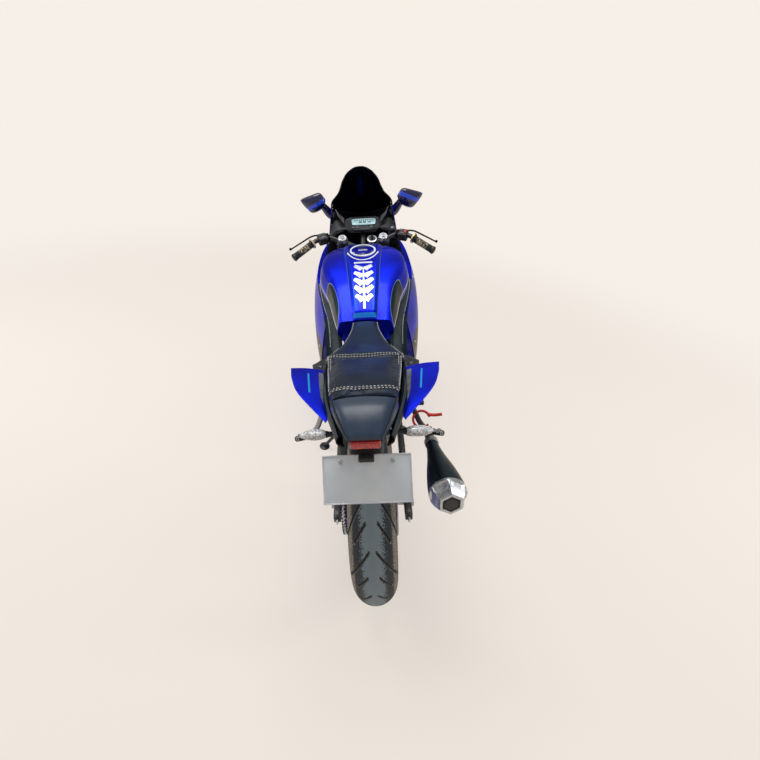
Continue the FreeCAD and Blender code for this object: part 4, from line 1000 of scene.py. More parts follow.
lamps = Piece("rear_indicator_lamps", "root", "lamp_clear", "rear_indicators")
INDICATOR_AT = np.array([96.0, -150, 812])
oval = [(0, 6), (6, 11), (16, 15), (32, 16), (48, 14.5), (60, 10), (68, 4), (70, 0.1)]
lamps.add_pair(turned(oval, (0, 0, 0), (1, 0, 0), 32) * [1, 1, 0.75] + INDICATOR_AT, LENS_CLEAR)
lamps.add_pair(turned([(-4, 7), (2, 9), (4, 8)], INDICATOR_AT, (1, 0, 0), 24), BLACK_PLASTIC)
lamps.finish()

# %% [markdown]
# The plate is blank sheet metal with a slim pale rim, held by a moulded arm under the tail. The arm also
# carries the bar between the indicators.

# %% Plate and its holder
plate_tilt = math.radians(38)
PLATE_AXES = np.array([(1, 0, 0), (0, math.cos(plate_tilt), -math.sin(plate_tilt)),
                       (0, math.sin(plate_tilt), math.cos(plate_tilt))])
PLATE_AT = np.array([0.0, -258, 772])
plate_back = PLATE_AXES[1]
plate = Piece("blank_plate", "root", "plate", "number_plate")
plate.add(block(PLATE_AT, (102.5, 1.3, 56), 1.2, PLATE_AXES), PLATE_WHITE)
plate.add_pair(bolt(PLATE_AT + (60, 0, 0) + PLATE_AXES[2] * 40 - plate_back, -plate_back, 5, 3), BRUSHED)
a = steps(81, 0, 2 * math.pi)
rim = np.stack([np.clip(np.cos(a) * 160, -101, 101), np.zeros(81), np.clip(np.sin(a) * 85, -54.5, 54.5)],
               -1)
rim = PLATE_AT + rim @ PLATE_AXES - plate_back * 1.5
plate.add(tube(rim, 1.6, 8, (0.01, 1, 0.01))[:-1], PALE_TRIM_AND_EDGE_HIGHLIGHT, ring=True)
plate.finish()

holder = Piece("plate_holder", "root", "dark_plastic", "rear_fender")
HOLDER_NET = [[(-40, -130, 818), (-40, -150, 844), (0, -152, 848), (40, -150, 844), (40, -130, 818),
               (0, -126, 814)],
              [(-38, -170, 800), (-38, -200, 822), (0, -204, 826), (38, -200, 822), (38, -170, 800),
               (0, -166, 796)],
              [(-36, -200, 778), (-36, -233, 798), (0, -234, 799), (36, -233, 798), (36, -200, 778),
               (0, -196, 774)],
              [(-40, -248, 738), (-40, -272, 750), (0, -273, 751), (40, -272, 750), (40, -248, 738),
               (0, -245, 735)]]
around = steps(49)[:-1] * 6
wrapped = np.array([np.concatenate([row[-1:], row, row[:2]]) for row in np.array(HOLDER_NET, float)])
holder.add(on_sheet(wrapped, steps(41)[:, None], (1 + around[None]) / 7), BLACK_PLASTIC)
bar_line = INDICATOR_AT + np.outer(steps(9, -98, 98) - INDICATOR_AT[0], (1, 0, 0))
holder.add(tube(bar_line, 7, 14), BLACK_PLASTIC)
holder.add(block((0, -240, 822), (18, 9, 7), 4), BLACK_PLASTIC)
holder.finish()

# %% [markdown]
# The nose is one pointed shell that carries the lamps and the screen's foot. From the saddle only its
# dark inside shows, so a thin black liner is laid inside the blue shell. The lamp lenses are patches of
# the same surface, raised a little, which keeps them flush however the nose is reshaped.

# %% Nose, lamps and liner
OUTSIDE_FRONT = (0, 3000, 1100)
QUARTER = np.radians([0, 22, 45, 68, 90])


def screen_row(centre_y, centre_z, side_x, side_y, side_z):
    """One curve of the screen from its middle to its edge: a quarter turn between the two, mirrored."""
    s, c = np.sin(QUARTER), np.cos(QUARTER)
    return both_sides(np.stack([side_x * s, side_y + (centre_y - side_y) * c,
                                side_z + (centre_z - side_z) * c], -1))


COWL_TOP = (1425, 956, 154, 1200, 1046)
NOSE_NET = [both_sides([(0, 1470, 764), (45, 1452, 762), (100, 1376, 752), (148, 1276, 746),
                        (176, 1186, 744)]),
            both_sides([(0, 1545, 812), (52, 1514, 812), (120, 1410, 812), (180, 1290, 812),
                        (204, 1186, 812)]),
            both_sides([(0, 1524, 868), (50, 1490, 872), (112, 1404, 884), (164, 1290, 898),
                        (182, 1186, 892)]),
            screen_row(*COWL_TOP)]
nose = Piece("nose_shell", "root", "blue_paint", "nose_cowl")
nose_grid = whole_sheet(NOSE_NET, 61, 121)
nose.add(shell(nose_grid, 2.6, OUTSIDE_FRONT), BLUE)
nose.add(shell(nose_grid - normals(nose_grid, OUTSIDE_FRONT) * 2.8, 1.4, OUTSIDE_FRONT), BLACK_PLASTIC)
nose.add_pair(bolt((150, 1215, 1030), (0.8, 0.3, 0.5), 6, 3), BRUSHED)
nose.finish()

lamp_pair = Piece("headlamp_lenses", "root", "lamp_clear", "headlamps")
share, outward = steps(13)[:, None], steps(41)[None]
for finish, low, high, lift, grow in ((BLACK_PAINT, 0.08, 0.92, 0.6, 0.06),
                                      (LENS_CLEAR, 0.2, 0.8, 3.0, 0.0)):
    rise = low + (high - low) * share * (1 - 0.45 * outward) + 0.12 * outward * (1 - share)
    across = 0.5 + (1.05 - 2 * grow + (1.75 + 4 * grow) * outward) / 8
    bulge = lift * (1 - (2 * share - 1) ** 4) * (1 - (2 * outward - 1) ** 6) + 0.2
    lens = above_sheet(NOSE_NET, (1 + rise) / 3, across, bulge, OUTSIDE_FRONT)
    lamp_pair.add_pair(shell(lens, lift + 1.5, OUTSIDE_FRONT), finish)
lamp_pair.finish()

# %% [markdown]
# The screen is a tall smoked bubble, drawn as quarter curves that narrow to a rounded top. The same net
# gives its rolled edge and the small screws at its foot.

# %% Screen
SCREEN_NET = [screen_row(*row) for row in (
    COWL_TOP, (1392, 1010, 146, 1196, 1080), (1346, 1070, 114, 1190, 1114), (1292, 1130, 97, 1184, 1144),
    (1240, 1180, 84, 1176, 1174), (1196, 1214, 60, 1168, 1205), (1162, 1232, 26, 1160, 1228))]
screen = Piece("smoked_screen", "root", "screen", "windscreen")
screen.add(shell(whole_sheet(SCREEN_NET, 81, 91), 3, OUTSIDE_FRONT), SCREEN_BLACK)
climb = steps(50, 0.01, 0.985)
for edge in (0.004, 0.996):
    screen.add(tube(on_sheet(SCREEN_NET, climb, np.full(50, edge)), 2.4, 8), SCREEN_BLACK)
for side in (-1, 1):
    for up_by in (0.03, 0.10):
        spot = on_sheet(SCREEN_NET, np.array([up_by]), np.array([0.5 + side * 0.47]))[0]
        screen.add(bolt(spot + (side * 0.5, -2, 0), (-side * 0.3, -1, 0.3), 5.5, 4), BRUSHED)
screen.finish()

# %% [markdown]
# A mirror head is a rounded plate with a bulging navy back and a flat glass. Here the heads are folded,
# so the navy backs face the rider. A helper scales one closed outline from row to row, which suits the
# instrument and the switch boxes too.


# %% Mirrors
def pillow(outline, centre, axes, rows):
    """A closed outline in a plane, scaled and lifted: centre + scale outline + height across the plane."""
    rows, axes = np.asarray(rows, float), np.asarray(axes, float)
    flat = rows[:, 0, None, None] * np.asarray(outline, float)[None]
    return np.asarray(centre, float) + flat @ axes[:2] + rows[:, 1, None, None] * axes[2]


def closed_curve(corners, count=72):
    """The smooth closed curve through some corners."""
    corners = np.asarray(corners, float)
    padded = np.concatenate([corners[-1:], corners, corners[:2]])
    at = (1 + steps(count + 1)[:-1] * len(corners)) / (len(padded) - 1)
    return through(padded, at)


def rounded(half_width, half_height, power=5.0, taper=0.0, count=72):
    """A rectangle with soft corners: cosine and sine raised to 2 over a power; taper widens the top."""
    a = circle(count)
    x, y = (np.sign(f) * np.abs(f) ** (2 / power) for f in (np.cos(a), np.sin(a)))
    return np.stack([half_width * x * (1 + taper * y), half_height * y], -1)


NAVY_BACK = Finish("navy mirror back", (0.002, 0.003, 0.03), 0.2, 0.0, Coat_Weight=1.0, Coat_Roughness=0.04)
x, y, z = NAVY_BACK.axes()
band = (z + x * 0.42).band(1174, 1192, 2) + (z - x * 0.42).band(1156, 1174, 2)
NAVY_BACK.tint(band, (0.002, 0.004, 0.05), (0.004, 0.06, 0.75))
NAVY_BACK.drive("Roughness", NAVY_BACK.noise(60, 3.0) * 0.1 + 0.12)
HEAD_CORNERS = [(-56, 4), (-50, 20), (-30, 40), (14, 31), (58, 17), (63, 6), (38, -28), (10, -48),
                (-38, -30)]
HEAD_ROWS = ((0.001, -15), (0.35, -14), (0.7, -10.5), (0.9, -5), (0.985, 2), (1, 10), (0.97, 20))
mirrors = Piece("mirror_heads", "root", "dark_plastic", "mirrors")
head = closed_curve(HEAD_CORNERS, 96)
HEAD_AXES = np.array([(1, 0, 0), (0, 0, 1), (0, 1, 0)])
HEAD_AT = np.array([236, 1200, 1080])
DASH_TILT = np.array([(0.5, 0, 0.87), (-0.87, 0, 0.5), (0, 1, 0)])
back = pillow(head, HEAD_AT, HEAD_AXES, through(HEAD_ROWS, steps(31)))
mirrors.add_pair(back, NAVY_BACK, caps=False)
mirrors.add_pair(pillow(head, HEAD_AT, HEAD_AXES, ((0.97, 20), (0.93, 22), (0.92, 18), (0.001, 18))),
                 MIRROR_GLASS)
rim_line = np.concatenate([back[24], back[24][:1]])
mirrors.add_pair(tube(rim_line, 1.4, 8, (0, 1, 0.01))[:-1], SWITCH_GREY, ring=True)
for k in range(4):
    dash_at = HEAD_AT + (k * 15 - 26, -13.5 + abs(k - 1.5) * 1.6, 3 - 4 * k)
    mirrors.add_pair(block(dash_at, (8.5, 2.2, 1.2), 0.8, DASH_TILT, fine=2), PALE_TRIM_AND_EDGE_HIGHLIGHT)
stalk = through([(200, 1216, 1068), (182, 1230, 1040), (164, 1238, 1016), (146, 1240, 1008)], steps(25))
thick = np.interp(steps(25), (0, 0.4, 1), (15, 21, 26))
mirrors.add_pair(tube(stalk, thick, 20, (0, 1, 0), squash=0.7), NAVY_BACK)
mirrors.finish()

# %% [markdown]
# The instrument is a wedge that faces the rider, with a pale display in a glossy navy bezel, a row of dark bars on
# it, and buttons below. Triangular panels fill the corners between it and the cowl.

# %% Instrument and corner panels
DASH_UP = unit((0, 82, 46))
DASH_OUT = np.cross((1, 0, 0), DASH_UP)
DASH_AXES = np.array([(1, 0, 0), DASH_UP, DASH_OUT])
DASH_AT = np.array([0, 1159, 980.0])
dash = Piece("instrument", "root", "dark_plastic", "dash")


def on_dash(outline, across, upward, rows, finish):
    """Adds a closed outline at a place on the instrument's face, with rows of (scale, height)."""
    dash.add(pillow(outline, DASH_AT + DASH_UP * upward + (across, 0, 0), DASH_AXES, rows), finish)


on_dash(rounded(88, 46, 4.5, 0.06, 96), 0, 0,
        ((0.7, -24), (0.94, -18), (1, -6), (1, -1), (0.98, 1), (0.94, 2), (0.9, 0.4)), BLACK_PLASTIC)
on_dash(rounded(60, 21, 6, 0.03), 6, 10, ((1, -1), (1, 1.6), (0.97, 2.4), (0.5, 2.4), (0.001, 2.4)),
        DISPLAY)
on_dash(rounded(64, 25, 6, 0.03), 6, 10, ((1.02, -1), (1.02, 1.8), (0.98, 1.8), (0.96, 0.5)), GLOSS_NAVY)
DISPLAY_MARKS = [(k * 11 - 38, 19, 2.2, 4.5) for k in range(9)]
DISPLAY_MARKS += [(-10, 6, 7, 5), (10, 6, 7, 5), (36, 5, 9, 3)]
for across, upward, half_x, half_up in DISPLAY_MARKS:
    at = DASH_AT + DASH_UP * upward + DASH_OUT * 2.6 + (across, 0, 0)
    dash.add(block(at, (half_x, half_up, 0.5), 0.4, DASH_AXES, fine=1), SWITCH_GREY)
for across in (-46, -26, 44):
    on_dash(rounded(8, 6, 4), across, -28, ((1, 0), (1, 3.5), (0.85, 4.5), (0.001, 4.7)), SWITCH_GREY)
dash.finish()

COCKPIT_NET = [[(80, 1140, 962), (140, 1144, 950), (182, 1136, 890)],
               [(82, 1172, 978), (146, 1174, 969), (183, 1166, 893)],
               [(84, 1200, 990), (150, 1200, 984), (184, 1192, 896)]]
corners = Piece("cockpit_corner_panels", "root", "dark_plastic", "cockpit_panels")
corners.add_pair(shell(whole_sheet(COCKPIT_NET, 17, 41), 3, (0, 600, 2000)), BLACK_PLASTIC)
WEDGE_NET = [[(90, 1150, 986), (104, 1150, 1004), (116, 1152, 1022)],
             [(92, 1172, 992), (112, 1176, 1016), (126, 1180, 1040)],
             [(92, 1196, 1000), (116, 1198, 1022), (132, 1200, 1046)]]
corners.add_pair(shell(whole_sheet(WEDGE_NET, 13, 13), 2.5, (0, 600, 1100)), SWITCH_GREY)
corners.finish()

# %% [markdown]
# The forks end in bright adjuster caps above the top clamp. Round stock is turned from a profile along
# the leg, because the eye picks out flats on chrome at once.

# %% Forks and caps
forks = Piece("fork_legs", "steering", "fork_chrome", "forks")
FORK_FOOT = fork_point(FORK_X, FORK_AHEAD, 0)
CAP_PROFILE = [(1028, 19), (1030, 20.5), (1036, 20.5), (1037.5, 19), (1037.5, 13), (1035, 12.5), (1035, 0.1)]
LEG_PROFILE = [(279, 14), (282, 24), (300, 25), (560, 25), (566, 26.5), (584, 26.5), (587, 22), (588, 19)]
for finish, sides, profile in (
        (CHROME, 40, [(575, 18.5), (1026, 18.5), (1030, 17.5)]), (SILVER, 40, CAP_PROFILE),
        (BRUSHED, 6, [(1034, 8), (1040, 8), (1041, 7), (1041, 3), (1039, 3), (1039, 0.1)]),
        (FRAME_BLACK, 40, LEG_PROFILE), (BLACK_PLASTIC, 32, [(583, 21), (591, 21), (592, 19)])):
    forks.add_pair(turned(profile, FORK_FOOT, STEER_UP, sides), finish)
forks.finish()

# %% [markdown]
# Each clip-on is a clamp round the fork with a bent bar, a mottled grip with a flange, a switch box and
# a lever. They are drawn for the right and mirrored, apart from what differs: the brake reservoir and
# red switch on the right, and the beige collar on the left.

# %% Bars, grips and controls
BAR_CLAMP = fork_point(FORK_X, FORK_AHEAD, 1010)
BAR_ELBOW, BAR_BEND, BAR_TIP = np.array([(165, 1030, 955), (222, 1003, 950), (326, 922, 900)], float)
BAR_ALONG = unit(BAR_TIP - BAR_BEND)
bars = Piece("clip_on_bars", "steering", "black_metal", "handlebars")
bars.add_pair(turned([(997, 19), (997, 25.5), (998, 26.5), (1022, 26.5), (1023, 25.5), (1023, 19)],
                     FORK_FOOT, STEER_UP, 40), FRAME_BLACK)
bar_line = [BAR_CLAMP, BAR_ELBOW, BAR_BEND, (BAR_BEND + BAR_TIP) / 2, BAR_TIP - BAR_ALONG * 2]
bars.add_pair(bent(bar_line, 10.8, 20), FRAME_BLACK)
bars.add_pair(bolt(BAR_CLAMP + (-8, -26, 4), (0, -1, 0.1), 5, 4), BRUSHED)
bars.finish()

grips = Piece("bar_grips", "steering", "grip", "grips")
RIB_PITCH = 5
ribs_along = steps(120, 4, 104)
rib = 15.2 + 0.9 * np.cos(ribs_along * 2 * math.pi / RIB_PITCH)
grip_profile = [(0, 12), (0, 20), (3.5, 20), (4.5, 16), *zip(ribs_along, rib), (106, 17.5), (115, 17.5),
                (116, 14)]
grip_base = BAR_TIP - BAR_ALONG * 118
rows = turned(grip_profile, grip_base, BAR_ALONG, 32)
grips.add_pair(rows[:28], BLACK_PLASTIC)
grips.add_pair(rows[26:98], GRIP_MOTTLED)
grips.add_pair(rows[96:], BLACK_PLASTIC)
for side, collar in ((-1, BEIGE_RUBBER), (1, GOLD)):
    ring_at = turned([(-3, 14), (-3, 23), (0, 24), (3, 23), (4, 17)], grip_base, BAR_ALONG, 36)
    grips.add(ring_at * [side, 1, 1], collar)
grips.add_pair(turned([(114, 11), (116, 13.5), (117.5, 13.5), (118, 12)], grip_base, BAR_ALONG, 24),
               BLACK_PAINT)
grips.finish()

BOX_ALONG = unit(BAR_BEND - BAR_ELBOW)
BOX_OUT = unit(np.cross(BOX_ALONG, (0, -0.55, 1)))
BOX_AXES = np.array([BOX_ALONG, BOX_OUT, np.cross(BOX_ALONG, BOX_OUT)])
BOX_AXES[2] *= np.sign(BOX_AXES[2, 2])
BOX_AT = BAR_ELBOW + BOX_ALONG * 30
controls = Piece("switches_and_levers", "steering", "dark_plastic", "bar_controls")
controls.add_pair(block(BOX_AT, (22, 21, 20), 6, BOX_AXES, fine=4), BLACK_PLASTIC)
controls.add_pair(block(BAR_ELBOW + BOX_ALONG * 4, (9, 17, 16), 4, BOX_AXES, fine=3), BLACK_PAINT)
face = BOX_AXES[2]
for along_box, over_box, half in ((-10, -9, (7, 5, 3)), (8, -9, (6, 5, 3)), (-2, 9, (9, 4, 3))):
    spot = BOX_AT + BOX_ALONG * along_box + BOX_OUT * over_box + face * 20
    controls.add_pair(block(spot, half, 2, BOX_AXES, fine=2), SWITCH_GREY)
controls.add(block(BOX_AT + BOX_ALONG * 12 + face * 21.5, (5, 9, 4), 2, BOX_AXES), RED_RUBBER)
lever_root = BAR_ELBOW + BOX_ALONG * 32
lever_bend = lever_root + (52, 46, 4)
lever_path = [lever_root + (4, 14, 0), lever_root + (12, 44, 5), lever_bend,
              (lever_bend + BAR_TIP + (16, 46, 28)) / 2 + (0, 3, 0), BAR_TIP + (14, 46, 28)]
thick = np.interp(steps(41), (0, 0.2, 1), (6.5, 6, 4.2))
controls.add_pair(tube(through(lever_path, steps(41)), thick, 14, (0, 0, 1), 0.7), BLACK_PAINT)
controls.add_pair(block(BAR_TIP + (16, 46, 29), (6.5, 6.5, 6.5), 6.4), BLACK_PAINT)
POT_AT, POT_UP = np.array([142, 1062, 966.0]), (0, -0.2, 1)
controls.add(turned([(-16, 15), (-14, 18), (4, 19), (5, 20.5), (12, 20.5), (14, 18.5), (14, 0.1)], POT_AT,
                    POT_UP, 36), BLACK_PLASTIC)
controls.add(turned([(13, 8), (15.5, 8), (16, 7), (16, 0.1)], POT_AT, POT_UP, 24), SILVER)
controls.add(bent([POT_AT + (6, -6, -12), (158, 1048, 958), BOX_AT + (-6, 12, 2)], 6, 12), BLACK_PLASTIC)
controls.finish()

# %% [markdown]
# On the top clamp sit the stem nut, the ignition lock with its key, and a small bunch of brass keys.

# %% Lock and keys
lock = Piece("lock_and_keys", "steering", "black_metal")
lock.add(turned([(985, 19), (1000, 19), (1002, 17), (1002, 9), (999, 8), (999, 0.1)], fork_point(0, 0, 0),
                STEER_UP, 6), BRUSHED)
LOCK_AT = fork_point(44, 62, 0)
lock.add(turned([(980, 20), (1004, 20), (1006, 21)], LOCK_AT, STEER_UP, 36), BLACK_PLASTIC)
lock.add(turned([(1003, 22), (1008, 24.5), (1011, 24.5), (1012, 23), (1012, 18), (1009, 17), (1009, 0.1)],
                LOCK_AT, STEER_UP, 48), SILVER)
lock.add(turned([(1005, 17), (1010, 16), (1010, 0.1)], LOCK_AT, STEER_UP, 36), BLACK_PLASTIC)
key_axes = np.array([unit((1, 0.3, 0)), unit((-0.3, 1, 0)), (0, 0, 1)])
lock.add(block(LOCK_AT + STEER_UP * 1018, (2, 9, 11), 1.8, key_axes, fine=3), BLACK_PAINT)
for k, (x, a) in enumerate(((4, -18), (18, -26), (28, -12))):
    spot = fork_point(x, a, 994 + k)
    slant = np.array([unit((math.cos(k), math.sin(k) * STEER_FORWARD[1], 0)), STEER_FORWARD, STEER_UP])
    slant[1] = np.cross(slant[2], slant[0])
    lock.add(block(spot, (14, 4, 1.5), 1.2, slant, fine=2), GOLD)
    lock.add(block(spot + slant[0] * 13, (6, 7, 1.8), 1.6, slant, fine=3), GOLD)
lock.finish()

# %% [markdown]
# A tyre is a round crown, a shoulder and a sidewall, carried round the axle. Its grooves are pressed into the same
# surface: long and short slanting ones by turns, mirrored about the middle, so that from behind they point
# upwards. The mesh keeps how far across each point lies, for the rubber's wear, with each groove's depth added so
# that the grooves stay dark: partly real unworn rubber, partly painted shade.


# %% Tyres
RIM_RADIUS = 222
GROOVE_EVERY = 30
GROOVE_DEPTH = 4


def tyre(name, body, node, radius, width, crown, axle, rows, columns):
    """The crown's arc of (crown sin a, radius - crown + crown cos a), then the sidewall to the bead. A
    groove is where a slanting line, repeated every 30 degrees, passes within its half width."""
    half = width / 2
    a = np.radians(steps(40, 0, 76))
    side = np.stack([crown * np.sin(a), radius - crown + crown * np.cos(a)], -1)
    flank = through([side[-1], (half, radius - crown + crown * 0.1), (half * 0.97, 245), (half * 0.84, 228),
                     (half * 0.78, RIM_RADIUS + 0.5)], steps(40))
    profile = np.concatenate([side, flank[1:]])
    run = np.concatenate([[0], np.cumsum(np.linalg.norm(np.diff(profile, axis=0), axis=1))])
    share = steps(columns)
    x, r = (np.interp(share * run[-1], run, profile[:, k]) for k in (0, 1))
    x, r, share = (np.concatenate([f * g[:0:-1], g]) for f, g in ((-1, x), (1, r), (1, share)))
    turn_at = steps(rows + 1, 0, 360)[:-1, None]
    arc = crown * np.arcsin(np.clip(np.abs(x) / crown, 0, 1))
    depth = 0
    for offset, near, far in ((0, 12, 96), (15, 17, 52)):
        slant = turn_at - offset - (arc - near) * 0.29
        along = (slant + GROOVE_EVERY / 2) % GROOVE_EVERY - GROOVE_EVERY / 2
        cut = 1 - ease(np.abs(along) * radius * math.pi / 180, 3.6, 5.6)
        depth = depth + GROOVE_DEPTH * cut * ease(arc, near - 3, near) * (1 - ease(arc, far, far + 5))
    lines = 0.5 * (np.abs(r - 262) < 1.5) + 0.5 * (np.abs(r - 240) < 1.2)
    r = r - depth + lines * (np.abs(x) > half * 0.9)
    b = np.radians(turn_at)
    grid = np.stack([np.broadcast_to(x, r.shape), -r * np.sin(b), r * np.cos(b)], -1) + axle
    inner = np.stack([x[::-6] * 0.97, np.maximum(r.max(0)[::-6] - 9, RIM_RADIUS - 1)], -1)
    lining = np.stack([np.broadcast_to(inner[:, 0], (rows, len(inner))), -inner[:, 1] * np.sin(b),
                       inner[:, 1] * np.cos(b)], -1) + axle
    # Adding the groove depth keeps the grooves dark: partly real unworn rubber, partly painted shade.
    share = share + np.minimum(np.broadcast_to(depth, r.shape), 1)
    value = np.concatenate([share, np.ones((rows, len(inner)))], 1)
    rubber = Piece(name, body, "tyre", node)
    rubber.add(np.concatenate([grid, lining], 1), RUBBER, ring=True, value=value)
    return rubber.finish(sharp=50, value_name="tread")


tyre("rear_tyre_rubber", "rear_wheel", "rear_tyre", 314, 144, 72, REAR_AXLE, 960, 40)
tyre("front_tyre_rubber", "front_wheel", "front_tyre", 296, 104, 54, FRONT_AXLE, 720, 30)

# %% [markdown]
# The wheels are cast: a barrel with rolled lips, a hub, and five forked arms between them. Each arm is a
# soft-edged bar that tapers outwards.


# %% Wheels
def spun(profile, axle, sides=60):
    """A profile of (x, radius) carried round the axle."""
    return turned(profile, axle, (1, 0, 0), sides)


BARREL_RADIUS = 208
HUB_SHARE = 0.62
ARM_LEAN = math.radians(4.5)
ARM_HALVES = ((14, 13), (12, 10), (9.5, 8.5), (8, 8), (7.5, 9), (8, 12))


def wheel(name, body, node, width, axle):
    """Barrel and hub as closed rings, and ten bars in five pairs that lean towards each other."""
    h = width / 2
    half_barrel = [(10, 203), (h - 12, BARREL_RADIUS), (h - 4, 211), (h, 216), (h, RIM_RADIUS),
                   (h - 5, RIM_RADIUS - 1), (h * 0.5, 215)]
    cast = Piece(name, body, "wheel_metal", node)
    cast.add(spun(half_barrel + [(-x, r) for x, r in half_barrel[::-1]], axle, 120), BLUE, ring=True)
    hub = h * HUB_SHARE
    half_hub = [(hub, 9), (hub, 33), (hub - 3, 34), (hub * 0.5, 30)]
    cast.add(spun(half_hub + [(-x, r) for x, r in half_hub[::-1]], axle), BLUE, ring=True)
    cast.add_many([spun([(s * hub, 28), (s * (hub + 0.6), 27), (s * (hub + 0.6), 10)], axle, 48)
                   for s in (-1, 1)], ALLOY)
    section = rounded(1, 1, 5, 0, 24)[None]
    u = steps(17)[:, None, None]
    half = through(ARM_HALVES, steps(17))[:, None]
    for k in range(10):
        a = math.radians(36 * (k + 0.5))
        b = a + (ARM_LEAN if k % 2 else -ARM_LEAN)
        out = np.array([0, math.sin(a), math.cos(a)])
        far = np.array([0, math.sin(b), math.cos(b)])
        line = out * 29 * (1 - u) + far * BARREL_RADIUS * u
        cast.add(line + half * section @ np.array([(1, 0, 0), np.cross((1, 0, 0), out)]) + axle, BLUE)
    cast.finish()


wheel("rear_wheel_casting", "rear_wheel", "rear_rim", 112, REAR_AXLE)
wheel("front_wheel_casting", "front_wheel", "front_rim", 82, FRONT_AXLE)

# %% [markdown]
# A brake disc is a thin steel ring with a waved edge and drilled holes, held to the hub by a dark carrier. The
# holes are drawn as short dark plugs, painted shade for the dark seen in each hole, which are far cheaper than
# real holes.


# %% Discs and calipers
def plugs(low, high, radius, centres, sides):
    """Short cylinders along X from low to high, with closed ends."""
    return [spun([(low, 0.001), (low, radius), (high, radius), (high, 0.001)], at, sides) for at in centres]


def edged_ring(xs, radii, a, axle):
    """A closed ring about the axle whose radii follow the angle: rows of (x, r cos a, r sin a)."""
    radii = np.stack([np.broadcast_to(r, a.shape) for r in radii])
    xs = np.broadcast_to(np.reshape(xs, (-1, 1)), radii.shape)
    return np.stack([xs, radii * np.cos(a), radii * np.sin(a)], -1) + axle


DISC_THICK = 4
DISC_BAND = 34


def brake_disc(name, body, node, radius, x, axle, foot):
    """The ring's outer edge is radius - 2 + 2 cos of ten times the angle; holes lie on three circles."""
    disc = Piece(name, body, "steel", node)
    top = x + DISC_THICK
    within = radius - DISC_BAND
    a = circle(240)
    edge = radius - 2 + 2 * np.cos(10 * a)
    disc.add(edged_ring((x, top, top, x), (edge, edge, within, within), a, axle), BRUSHED, ring=True)
    centres = [at for k, r in enumerate((9, 17, 25)) for at in spots_round(axle, radius - r, 30, k * 0.07)]
    # The dark plugs in the drilled holes are painted shade.
    disc.add_many(plugs(x - 0.15, top + 0.15, 3, centres, 8), SOOT_AND_HOLE_SHADE)
    for b in circle(5):
        out = np.array([0, math.sin(b), math.cos(b)])
        axes = np.array([(1, 0, 0), np.cross((1, 0, 0), out), out])
        centre = axle + out * radius / 2 + (x + DISC_THICK / 2, 0, 0)
        disc.add(block(centre, (2.2, 8, within / 2 - 12), 2, axes, fine=2), FRAME_BLACK)
        rivet = [(x - 1, 0.1), (x - 1, 6), (top + 1, 6), (top + 1, 0.1)]
        disc.add(spun(rivet, axle + out * (within + 1), 16), ALLOY)
    disc.add(spun([(x, 42), (x, 11), (top, 11), (top, 42)], axle), FRAME_BLACK, ring=True)
    if foot:
        disc.add(spun([(foot, 33), (foot, 11), (x, 11), (x, 30)], axle), FRAME_BLACK, ring=True)
    disc.finish()


brake_disc("front_brake_disc", "front_wheel", "front_disc", 141, -29.4, FRONT_AXLE, None)
brake_disc("rear_brake_disc", "rear_wheel", "rear_disc", 110, 80, REAR_AXLE, 34.7)


def caliper(name, body, node, at, out, inner_x, outer_x, reach, half_long):
    """Two half bodies either side of the disc and a bridge beyond its edge, with screws and a bleed nut."""
    out = unit(out)
    axes = np.array([(1, 0, 0), out, np.cross((1, 0, 0), out)])
    part = Piece(name, body, "caliper", node)
    for low, high in (inner_x, outer_x):
        edge = 5 if high - low > 12 else 2
        part.add(block(at + ((low + high) / 2, 0, 0), ((high - low) / 2, 21, half_long), edge, axes,
                       fine=4), GOLD)
    low, high = min(inner_x[0], outer_x[0]), max(inner_x[1], outer_x[1])
    bridge = at + out * reach + ((low + high) / 2, 0, 0)
    part.add(block(bridge, ((high - low) / 2, 5, half_long * 0.7), 4, axes), GOLD)
    side = -1 if outer_x[0] < inner_x[0] else 1
    face_x = low if side < 0 else high
    for shift in (-0.45, 0.45):
        centre = at + axes[2] * half_long * shift + (face_x, 0, 0)
        part.add(turned([(-1, 12), (2, 12), (3, 10.5), (3, 0.1)], centre, (side, 0, 0), 28), ALLOY)
        part.add(bolt(centre + axes[2] * half_long * shift * 0.85, (side, 0, 0), 4.5, 4), BRUSHED)
    nut = at + out * (reach + 2) + (face_x - side * 6, 0, 0)
    part.add(turned([(0, 4), (8, 4), (8, 2), (12, 2), (12, 0.1)], nut, out, 10), BRUSHED)
    return part


front_out, rear_out = (0, -110, 45), (0, 62, 74)
front_stop = caliper("front_brake_caliper", "steering", "front_caliper", FRONT_AXLE + front_out, front_out,
                     (-24.2, -16.5), (-53, -30.6), 31, 40)
front_stop.add(block((-62, 1234, 356), (16, 22, 17), 5, fine=3), ALLOY)
front_stop.finish()
rear_stop = caliper("rear_brake_caliper", "root", "rear_caliper", REAR_AXLE + rear_out, rear_out,
                    (69, 78.6), (85.4, 100), 24, 28)
rear_stop.add(block((104, 70, 360), (5, 26, 18), 4, fine=3), FRAME_BLACK)
rear_stop.finish()

# %% [markdown]
# The chain is what the eye goes to on this side, so every link is here: pins lie evenly along two
# sprocket arcs and two straight runs, wide and narrow plates take turns, and bright rollers show
# between them. One plate has few faces, because there are over two hundred.

